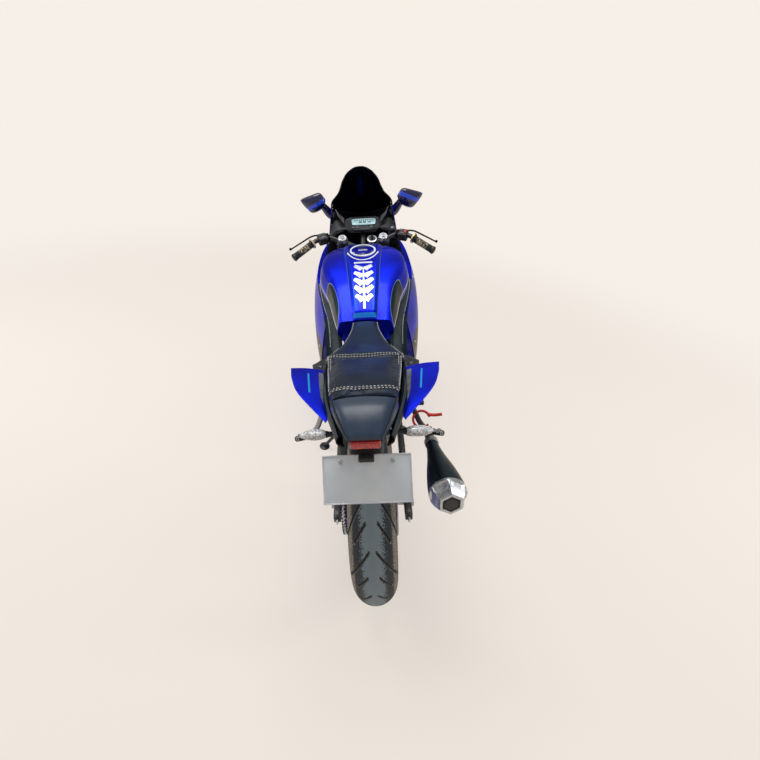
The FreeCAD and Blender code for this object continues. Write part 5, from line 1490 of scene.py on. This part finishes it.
# %% Chain and sprockets
LINK_PITCH = 12.7
CHAIN_X = -96.0
BIG_TEETH, SMALL_TEETH = 48, 14
FRONT_SPROCKET = np.array([520.0, 352.0])
BIG_RADIUS, SMALL_RADIUS = (LINK_PITCH / (2 * math.sin(math.pi / teeth))
                            for teeth in (BIG_TEETH, SMALL_TEETH))
span = FRONT_SPROCKET - REAR_AXLE[1:]
tilt = math.atan2(span[1], span[0])
spread = math.acos((BIG_RADIUS - SMALL_RADIUS) / np.linalg.norm(span))
straight = math.sqrt(span @ span - (BIG_RADIUS - SMALL_RADIUS) ** 2)
small_arc, big_arc = SMALL_RADIUS * 2 * spread, BIG_RADIUS * 2 * (math.pi - spread)
loop_length = 2 * straight + small_arc + big_arc
link_count = 2 * round(loop_length / LINK_PITCH / 2)


def on_route(s):
    """Places (y, z) a distance along the chain: round the small sprocket, along the upper run, round the
    large one and back along the lower run."""
    turns = (tilt - spread + s / SMALL_RADIUS, np.full_like(s, tilt + spread),
             tilt + spread + (s - small_arc - straight) / BIG_RADIUS, np.full_like(s, tilt - spread))
    ends = np.cumsum([small_arc, straight, big_arc])
    part = (s[:, None] >= ends).sum(1)
    a = np.choose(part, turns)
    round_small = (part == 0) | (part == 1)
    radius = np.where(round_small, SMALL_RADIUS, BIG_RADIUS)
    centre = np.where(round_small[:, None], FRONT_SPROCKET, REAR_AXLE[1:])
    slide = np.where(part == 1, s - ends[0], np.where(part == 3, s - ends[2], 0))
    return centre + np.stack([radius * np.cos(a) - slide * np.sin(a),
                              radius * np.sin(a) + slide * np.cos(a)], -1)


pins = on_route(np.arange(link_count) * loop_length / link_count)
next_pins = np.roll(pins, -1, axis=0)
middles = (pins + next_pins) / 2
headings = unit(next_pins - pins)
b = circle(12)
plate_outline = np.stack([np.cos(b) * (8.6 + 2.6 * np.cos(b) ** 2),
                          np.sin(b) * (5.2 - 1.3 * np.sin(b) ** 2)], -1)
chain = Piece("drive_chain", "root", "steel", "chain")


def slices(centres, outlines, low, high, finish):
    """Adds flat closed outlines about many centres, each as thick as from low to high across the chain."""
    rows = centres[:, None, None] + outlines[:, None] * np.array([0.001, 1, 1, 0.001])[None, :, None, None]
    xs = CHAIN_X + np.array([low, low, high, high])[None, :, None, None]
    chain.add_many(np.concatenate([np.broadcast_to(xs, rows.shape[:3] + (1,)), rows], -1), finish)


for odd, half_gap in ((0, 4.6), (1, 7.0)):
    heading = headings[odd::2]
    across_heading = np.stack([-heading[:, 1], heading[:, 0]], -1)
    outlines = plate_outline @ np.stack([heading, across_heading], 1)
    for middle in (-half_gap, half_gap):
        slices(middles[odd::2], outlines, middle - 0.75, middle + 0.75, FRAME_BLACK)
for half, radius, finish in ((3.8, 4.0, SILVER), (8.6, 1.9, BRUSHED)):
    slices(pins, radius * np.stack([np.cos(b), np.sin(b)], -1)[None], -half, half, finish)
chain.finish(sharp=30)
print("chain links:", link_count)

tooth_tip = (BIG_RADIUS - 5.5) * math.cos(math.pi / BIG_TEETH) - 0.4
a = circle(480)
edge = tooth_tip - 2 + 2 * np.cos(BIG_TEETH * a)
xs = CHAIN_X + np.array([-2.6, -2.6, -1.2, 1.2, 2.6, 2.6])
sprocket = Piece("rear_chainwheel", "rear_wheel", "steel", "rear_sprocket")
sprocket.add(edged_ring(xs, (62, edge - 3, edge, edge, edge - 3, 62), a, REAR_AXLE), BRUSHED, ring=True)
sprocket.add(spun([(-99, 64), (-99, 11), (-93, 11), (-93, 64)], REAR_AXLE), BRUSHED, ring=True)
sprocket.add(spun([(-93, 48), (-93, 11), (-35, 11), (-35, 44)], REAR_AXLE), FRAME_BLACK, ring=True)
# Dark plugs stand for the carrier's twelve holes: painted shade.
sprocket.add_many(plugs(-99.2, -92.8, 8, spots_round(REAR_AXLE, 78, 12), 16), SOOT_AND_HOLE_SHADE)
for at in spots_round(REAR_AXLE - (99, 0, 0), 52, 5):
    sprocket.add(bolt(at, (-1, 0, 0), 6, 5), BRUSHED)
sprocket.finish()

# %% [markdown]
# The muffler swells from its pipe to a long dark can, and ends in a bright cap whose six facets run back
# to a dark six-sided mouth. The can is turned; the cap blends a circle into a hexagon row by row.

# %% Exhaust
MUFFLER_FRONT, MUFFLER_TIP = np.array([213.0, 108, 503]), np.array([224.0, -185, 556])
muffler_way = unit(MUFFLER_TIP - MUFFLER_FRONT)
muffler_reach = np.linalg.norm(MUFFLER_TIP - MUFFLER_FRONT)
CAP_START = muffler_reach - 42
CAP_FOOT = MUFFLER_FRONT + muffler_way * CAP_START
can_line = through([(0, 20), (40, 22), (98, 31), (150, 42), (190, 49), (225, 53.5), (CAP_START - 4, 54.6)],
                   steps(40))
can = Piece("muffler_can", "root", "muffler_black", "muffler")
can.add(turned([*can_line, (CAP_START, 53)], MUFFLER_FRONT, muffler_way, 72), CAN_BLACK)
can.add(turned([(-3, 18), (-3, 22), (0, 24), (16, 24), (18, 22), (18, 18)], MUFFLER_FRONT, muffler_way, 48),
        ALLOY)
can.finish()

cap_side, cap_other = (f[0] for f in frame_along(np.array([MUFFLER_FRONT, MUFFLER_TIP]), (0, 0, 1)))
SIXTH = math.pi / 3


def cap_rows(rows):
    """Rows of (distance from the cap's foot, radius, how far from a circle towards a hexagon)."""
    a = circle(96)
    d, r, k = (np.asarray(rows, float)[:, i, None] for i in range(3))
    hexagon = math.cos(SIXTH / 2) / np.cos((a + SIXTH / 2) % SIXTH - SIXTH / 2)
    radius = (r * (1 - k + k * hexagon))[..., None]
    ring = np.cos(a)[:, None] * cap_side + np.sin(a)[:, None] * cap_other
    return CAP_FOOT + d[..., None] * muffler_way + radius * ring


cap = Piece("muffler_tip", "root", "muffler_steel", "muffler_end")
cap.add(cap_rows([(-6, 53, 0), (-6, 55, 0), (2, 55, 0), (5, 54.6, 0.9), (20, 49, 1), (40, 38.5, 1),
                  (42, 36, 1), (42, 29, 1), (40, 27, 1)]), SILVER)
cap.add(cap_rows([(41, 28, 1), (41, 19, 0.3), (39, 17.5, 0), (10, 16.5, 0)]), FRAME_BLACK)
# The dark lining and the disc that closes the pipe are real burnt carbon, and the disc is also painted shade for
# the pipe beyond it.
cap.add(cap_rows([(36, 17.5, 0), (8, 16.5, 0), (8, 0.1, 0)]), SOOT_AND_HOLE_SHADE)
for t in circle(6):
    out = cap_side * math.cos(t) + cap_other * math.sin(t)
    cap.add(bolt(CAP_FOOT - muffler_way + out * 54, out, 3.4, 2), BRUSHED)
cap.finish()

PIPE = [(58, 880, 520), (58, 930, 490), (58, 940, 450), (58, 936, 290), (62, 900, 215), (70, 840, 192),
        (96, 580, 192), (160, 420, 250), (192, 300, 360), (211, 190, 472), tuple(MUFFLER_FRONT)]
pipes = Piece("exhaust_header", "root", "steel", "exhaust_pipe")
pipes.add(tube(through(PIPE, steps(120)), 16.5, 24, (0.3, 0.2, 1)), HEADER)
for x in (-58, -20, 20):
    line = through([(x, 880, 520), (x, 926, 492), (x, 934, 450), (x, 930, 290), (x * 0.6, 896, 216),
                    (20 + x * 0.4, 840, 192), (66, 760, 190)], steps(60))
    pipes.add(tube(line, 14, 20, (0.3, 0.2, 1)), HEADER)
pipes.finish()

# %% [markdown]
# The swingarm is two box-section arms and a bridge; at its end sit the chain adjusters and the axle nut.

# %% Swingarm, axle and guard
arm_line = through([(490, 352, 38), (380, 352, 51), (40, 316, 47), (-40, 314, 40), (-60, 314, 33)],
                   steps(60))
section = rounded(12.6, 1, 6, 0, 40)
arm = np.stack([np.broadcast_to(123 + section[None, :, 0], (60, 40)), np.repeat(arm_line[:, :1], 40, 1),
                arm_line[:, 1:2] + arm_line[:, 2:] / 2 * section[None, :, 1]], -1)
swing = Piece("swingarm_casting", "root", "black_metal", "swingarm")
swing.add_pair(arm, FRAME_BLACK)
swing.add(block((0, 392, 345), (118, 21, 16.5), 7, fine=4), FRAME_BLACK)
swing.add_pair(block((135, -30, 314), (1.6, 24, 13), 1.2), ALLOY)
swing.add_pair(turned([(0, 5), (14, 5), (14, 3), (20, 3), (20, 0.1)], (123, -58, 314), (0, -1, 0), 6),
               BRUSHED)
for y in (120, 250):
    swing.add_pair(bolt((135.6, y, 316 + (y - 40) * 0.1), (1, 0, 0), 6, 3), BRUSHED)
swing.finish()

axle = Piece("rear_axle_nuts", "root", "steel", "rear_axle")
axle.add(turned([(-140, 0.1), (-140, 9), (140, 9), (140, 0.1)], REAR_AXLE, (1, 0, 0), 28), BRUSHED)
axle.add_pair(turned([(136, 18), (138, 19), (139, 18)], REAR_AXLE, (1, 0, 0), 36), BRUSHED)
axle.add_pair(turned([(139, 15), (145, 15), (146, 13), (146, 8), (143, 7), (143, 0.1)], REAR_AXLE,
                     (1, 0, 0), 6), SILVER)
axle.finish()

guard_line = through([(-60, 430), (60, 421), (200, 410), (330, 401)], steps(40))
guard_x, guard_drop = np.array([-109, -107, -97, -87, -85.5]), np.array([-14, 0, 3, 1, -5])
guard = Piece("chain_cover", "root", "dark_plastic", "chain_guard")
guard.add(shell(np.stack([np.broadcast_to(guard_x, (40, 5)), np.repeat(guard_line[:, :1], 5, 1),
                          guard_line[:, 1:] + guard_drop], -1), 2.5, (-97, 130, 2000)), BLACK_PLASTIC)
guard.finish()

# %% [markdown]
# Both riders' pegs stand out on bent hangers. The passenger's left strut is bare alloy and the right one
# is dark with a red-edged peg, so each is made for itself.

# %% Pegs and pedals
RIDER_PLATE = closed_curve([(400, 520), (440, 523), (476, 518), (478, 460), (474, 400), (450, 387),
                            (420, 388), (402, 430)])
hangers = Piece("footrest_hangers", "root", "black_metal", "footrests")
hangers.add_pair(pillow(RIDER_PLATE - (438, 455), (144, 438, 455), [(0, 1, 0), (0, 0, 1), (1, 0, 0)],
                        [(0.001, -3.9), (0.97, -3.9), (1, -2.8), (1, 2.8), (0.97, 3.9), (0.001, 3.9)]),
                 FRAME_BLACK)
hangers.add_pair(bent([(128, 420, 512), (136, 430, 505), (144, 438, 490)], 9), FRAME_BLACK)


def peg(start, end, radius):
    """A bar with raised rings every 7 mm and a round end."""
    start, end = np.asarray(start, float), np.asarray(end, float)
    length = np.linalg.norm(end - start)
    profile = [(0, radius * 0.7), (6, radius * 0.7)]
    for d in np.arange(8, length - 8, 7.0):
        profile += [(d, radius * 0.82), (d + 1, radius), (d + 5, radius), (d + 6, radius * 0.82)]
    profile += [(length - 4, radius * 0.95), (length, radius * 0.6), (length, 0.1)]
    return turned(profile, start, unit(end - start), 24)


hangers.add_pair(peg((148, 436, 404), (235, 430, 408), 12), BLACK_PLASTIC)
hangers.add_pair(bolt((148, 440, 500), (1, 0, 0), 7, 4), BRUSHED)
strut = bent([(72, 144, 724), (138, 106, 674), (170, 97, 606), (200, 92, 568)], 9, 18)
hangers.add(strut, FRAME_BLACK)
hangers.add(mirrored(strut), ALLOY)
hangers.add_pair(peg((204, 91, 568), (251, 88, 560), 10), BLACK_PLASTIC)
hangers.add_pair(block((203, 92, 570), (8, 12, 12), 4), FRAME_BLACK)
hangers.add_pair(bolt((196, 92, 582), (0, 0, 1), 5, 3), BRUSHED)
a = steps(41, 0.25, 5.6)[:, None]
hoop = np.array([172, 84, 632]) + 27 * (np.cos(a) * [1, 0, 0] + np.sin(a) * [0, 0.59, 0.81])
hangers.add(tube(hoop, 4, 12, (0, -0.81, 0.59)), RED_RUBBER)
hangers.add(bent([(190, 84, 652), (212, 82, 650), (236, 80, 654)], 5, 14), RED_RUBBER)
for at in ((226, 86, 574), (240, 84, 566), (232, 80, 584), (214, 84, 582)):
    hangers.add_pair(bolt(at, (0.1, -0.8, 0.6), 6.5, 6), SILVER)
hangers.finish()

pedals = Piece("foot_levers", "root", "black_metal", "foot_controls")
pedals.add_pair(bent([(154, 452, 398), (158, 500, 372), (156, 560, 354), (160, 578, 352), (190, 596, 352)],
                     5.6, 14), ALLOY)
pedals.add_pair(turned([(0, 6), (1, 7.5), (28, 7.5), (29, 6)], (162, 582, 352), (28, 16, 0), 20),
                BLACK_PLASTIC)
pedals.add_pair(turned([(0, 9), (1, 10), (7, 10), (8, 9)], (149, 452, 398), (1, 0, 0), 24), BRUSHED)
pedals.finish()
print("muffler, swingarm, pegs and pedals done")

# %% [markdown]
# The side stand is a bent leg with a flat foot on the floor. It turns on its own pivot, so the whole leg
# rides that joint.

# %% Side stand
STAND_PIVOT = np.array([-122.0, 505, 232])
TYRE_CROWN = 72
FOOT_OUT = 248.0
sink = TYRE_CROWN * (1 - math.cos(LEAN))
STAND_FOOT = np.array([-FOOT_OUT, 545, (sink + FOOT_OUT * math.sin(LEAN)) / math.cos(LEAN)])
stand_up = np.array([math.sin(LEAN), 0, math.cos(LEAN)])
stand_axis = unit(np.cross(STAND_FOOT - STAND_PIVOT, (-0.10, -1.0, 0.02)))
stand = Piece("side_stand_leg", "side_stand", "black_metal", "side_stand")
stand.add(tube(through([STAND_PIVOT, STAND_PIVOT * 0.62 + STAND_FOOT * 0.38, STAND_FOOT + stand_up * 5],
                       steps(30)),
               np.interp(steps(30), [0, 0.3, 1], [9, 9, 8]), 20), FRAME_BLACK)
stand.add(turned([(-9, 7), (-9, 15), (9, 15), (9, 7)], STAND_PIVOT, stand_axis, 32), FRAME_BLACK)
stand.add(turned([(0.4, 0.1), (0.4, 25.5), (2, 26), (6, 25), (8, 22), (8, 0.1)], STAND_FOOT, stand_up, 40),
          FRAME_BLACK)
stand.add(bolt(STAND_PIVOT + stand_axis * 9, stand_axis, 6, 4), BRUSHED)
stand.finish()

# %% [markdown]
# The engine is mostly hidden by the fairing. A soft-edged case carries a finned barrel block, a round
# clutch cover on the right, a round alternator cover on the left, and screws round both.

# %% Engine, radiator and shock
CASE = closed_curve([(562, 238), (680, 229), (798, 231), (850, 262), (892, 302), (894, 400), (830, 442),
                     (760, 467), (660, 465), (564, 460), (556, 350)], 120)
BARREL = closed_curve([(702, 440), (800, 404), (878, 404), (902, 480), (920, 558), (890, 636), (840, 642),
                       (792, 646), (745, 545)], 120)
FLAT = [(0, 1, 0), (0, 0, 1), (1, 0, 0)]
motor = Piece("engine_cases", "root", "engine_metal", "engine")
CASE_AT, BARREL_AT = (725, 348), (820, 520)
for outline, half, centre in ((CASE, 114, CASE_AT), (BARREL, 82, BARREL_AT)):
    upper = [(1, half - 10), (0.98, half - 3), (0.93, half), (0.5, half), (0.001, half)]
    rows = [(scale, -height) for scale, height in upper[::-1]] + upper
    motor.add(pillow(outline - centre, (0, *centre), FLAT, rows), CAST_DARK)
for k in range(9):
    motor.add(pillow((BARREL - BARREL_AT) * (0.93 + 0.02 * (k % 2)), (-64 + 16 * k, *BARREL_AT), FLAT,
                     [(0.001, -2), (1.065, -2), (1.075, 0), (1.065, 2), (0.001, 2)]), CAST_DARK)
for side, y, z, radius in ((1, 672, 352, 74), (-1, 800, 340, 66)):
    foot, out = np.array([side * 108, y, z]), (side, 0, 0)
    motor.add(turned([(0, radius), (3, radius), (6, radius - 4), (8, radius - 14), (8, 0.1)], foot, out,
                     72), ALLOY)
    motor.add(turned([(7, radius * 0.5), (9, radius * 0.48), (9, 0.1)], foot, out, 48), CAST_DARK)
    for at in spots_round(foot + (side * 5, 0, 0), radius - 7, 8):
        motor.add(bolt(at, out, 4, 2.5), BRUSHED)
motor.finish()

core = Piece("radiator_core", "root", "dark_plastic", "radiator")
core.add(block((0, 972, 520), (134, 9, 92), 2, fine=2), FRAME_BLACK)
core.add_many([block((0, 972, z), (122, 13, 0.7), 0.6, fine=1) for z in np.arange(434, 607, 4.0)], ALLOY)
core.add_pair(block((128, 972, 520), (7, 14, 104), 5), FRAME_BLACK)
for z in (420, 620):
    core.add(block((0, 972, z), (134, 13, 4.5), 3, fine=2), FRAME_BLACK)
core.finish()

SPRING_TURNS = 7
SPRING_RADIUS = 22.5
SHOCK_FOOT = (0, 397, 358)
spring_low, spring_high = np.array([(0, 400, 372), (0, 466, 510)], float)
up_coil = steps(260)[:, None]
a = up_coil * SPRING_TURNS * 2 * math.pi
way = unit(spring_high - spring_low)
ring = np.cos(a) * [1.0, 0, 0] + np.sin(a) * np.cross(way, (1, 0, 0))
coil = spring_low + up_coil * (spring_high - spring_low) + SPRING_RADIUS * ring
damper = Piece("shock_spring", "root", "black_metal", "shock")
damper.add(tube(coil, 4.4, 10, way), RED_RUBBER)
damper.add(turned([(0, 6), (0, 15), (70, 15), (70, 8), (140, 8), (140, 14), (160, 14), (160, 6)],
                  SHOCK_FOOT, way, 32), BRUSHED)
damper.add_many([turned([(d, 10), (d, 26.5), (d + 4, 26.5), (d + 4, 10)], SHOCK_FOOT, way, 32)
                 for d in (12, 160)], FRAME_BLACK)
damper.finish()

# %% [markdown]
# The front mudguard is part of a ring about the wheel, thin at the edge and swept down at both flanks.
# The axle's nuts and the two soft flaps that close the seat's corners are made here too.

# %% Front mudguard, axle nuts and seat flaps
arc = np.radians(through([(32,), (55,), (78,), (101,), (124,), (146,)], steps(61)))
across_guard = through([(-60, 34), (-48, 16), (-34, 5.5), (0, 0), (34, 5.5), (48, 16), (60, 34)], steps(41))
reach = 310 - across_guard[None, :, 1]
guard_skin = np.stack([np.broadcast_to(across_guard[None, :, 0], (61, 41)), reach * np.cos(arc),
                       reach * np.sin(arc)], -1) + FRONT_AXLE
guard = Piece("front_mudguard", "steering", "blue_paint", "front_fender")
guard.add(shell(guard_skin, 3, FRONT_AXLE), BLUE)
guard.finish()

spindle = Piece("front_axle_nuts", "steering", "steel", "front_axle")
spindle.add(turned([(-118, 0.1), (-118, 9), (118, 9), (118, 0.1)], FRONT_AXLE, (1, 0, 0), 28), BRUSHED)
spindle.add_pair(turned([(112, 14), (118, 14), (122, 12), (122, 7), (119, 6), (119, 0.1)], FRONT_AXLE,
                        (1, 0, 0), 6), SILVER)
spindle.finish()

FLAP_NET = [[(116, 232, 786), (118, 180, 792), (118, 136, 800)],
            [(142, 222, 790), (148, 181, 797), (142, 137, 805)],
            [(162, 206, 787), (171, 182, 795), (159, 140, 807)]]
flaps = Piece("seat_side_flaps", "root", "dark_plastic", "seat_wings")
flaps.add_pair(shell(whole_sheet(FLAP_NET, 25, 31), 5.5, OUTSIDE_TOP), BLACK_PLASTIC)
flaps.add_pair(bolt((146, 165, 797.5), (0.1, 0, 1), 6, 2.5), BRUSHED)
flaps.finish()
print("stand, engine, radiator, shock, mudguard and flaps done")

# %% [markdown]
# What stays as the chassis gave it is mostly hidden structure. It keeps its own shape and gets a finish
# with grain, one for each of the record's material slots.

# %% Finishes for the chassis parts
FINISH_OF = {"black_metal": FRAME_BLACK, "engine_metal": CAST_DARK, "dark_plastic": BLACK_PLASTIC,
             "blue_paint": BLUE, "seat_vinyl": LEATHER, "screen": SCREEN_BLACK, "lamp_clear": LENS_CLEAR,
             "lamp_red": LENS_RED, "tyre": RUBBER, "wheel_metal": BLUE, "steel": BRUSHED,
             "grip": GRIP_MOTTLED, "fork_chrome": CHROME,
"caliper": GOLD, "muffler_black": CAN_BLACK, "muffler_steel": SILVER,
             "plate": PLATE_WHITE}
slot_of = {s["node"]: s["material_slot"] for s in frame["record"]["subparts"]}
for name, node in frame["nodes"].items():
    node.data.materials.clear()
    node.data.materials.append(FINISH_OF[slot_of[name]].material)
frame["nodes"]["exhaust_pipe"].data.materials[0] = HEADER.material
print("chassis parts finished:", len(frame["nodes"]))

# %% [markdown]
# The studio is a pale warm floor that runs out of sight, a pale world, and three broad soft lamps, one
# overhead and one to either side, so paint and leather show long soft highlights without burning out.

# %% Floor, world and lamps
WARM_WHITE = (1.0, 0.93, 0.86, 1)
SKY_LIGHT, SKY_SEEN = 0.42, 0.93
floor = bpy.data.objects.new("floor", bpy.data.meshes.new("floor"))
floor.data.from_pydata([(-30, -30, 0), (30, -30, 0), (30, 30, 0), (-30, 30, 0)], [], [(0, 1, 2, 3)])
bpy.context.scene.collection.objects.link(floor)
floor_finish = Finish("pale floor", (0.90, 0.83, 0.76), 0.9)
floor_finish.tint(floor_finish.noise(0.7, 3.0), (0.88, 0.81, 0.74), (0.92, 0.85, 0.78))
seen = floor_finish.node("ShaderNodeLightPath", output="Is Camera Ray")
glow = floor_finish.node("ShaderNodeEmission", inputs={"Color": WARM_WHITE, "Strength": SKY_SEEN})
distance = floor_finish.node("ShaderNodeVectorMath", {"operation": "LENGTH"},
                             [floor_finish.node("ShaderNodeTexCoord", output="Object")], output="Value")
mixed = floor_finish.node("ShaderNodeMixShader",
                          inputs={0: seen * (distance.between(1.0, 4.5) * 0.4 + 0.6)})
floor_finish.tree.links.new(floor_finish.shader.outputs[0], mixed.socket.node.inputs[1])
floor_finish.tree.links.new(glow.socket, mixed.socket.node.inputs[2])
floor_finish.tree.links.new(mixed.socket, floor_finish.tree.nodes["Material Output"].inputs["Surface"])
floor.data.materials.append(floor_finish.material)

world = bpy.data.worlds.new("world")
bpy.context.scene.world = world
world.use_nodes = True
tree = world.node_tree
seen = tree.nodes.new("ShaderNodeLightPath")
strength = tree.nodes.new("ShaderNodeMapRange")
strength.inputs["To Min"].default_value = SKY_LIGHT
strength.inputs["To Max"].default_value = SKY_SEEN
tree.links.new(seen.outputs["Is Camera Ray"], strength.inputs["Value"])
tree.links.new(strength.outputs[0], tree.nodes["Background"].inputs["Strength"])
tree.nodes["Background"].inputs["Color"].default_value = WARM_WHITE


def lamp(name, place, aim, width, height, power):
    """A rectangular soft lamp at a place, turned to face a point."""
    light = bpy.data.objects.new(name, bpy.data.lights.new(name, "AREA"))
    light.data.shape = "RECTANGLE"
    light.data.size = width
    light.data.size_y = height
    light.data.energy = power
    back = Matrix.Translation(place)
    heading = np.asarray(aim, float) - np.asarray(place, float)
    z = -unit(heading)
    x = unit(np.cross((0, 0, 1), z))
    light.matrix_world = back @ Matrix((x, np.cross(z, x), z)).transposed().to_4x4()
    bpy.context.scene.collection.objects.link(light)


lamp("overhead_softbox", (-0.6, 0.3, 3.4), (0, 0.3, 0.6), 1.0, 2.2, 52)
lamp("left_softbox", (-3.2, 0.2, 1.8), (0, 0, 0.6), 0.8, 2.4, 26)
lamp("right_softbox", (3.2, -0.6, 2.2), (0, 0, 0.6), 0.8, 2.0, 30)
bpy.context.scene.view_settings.view_transform = "Standard"
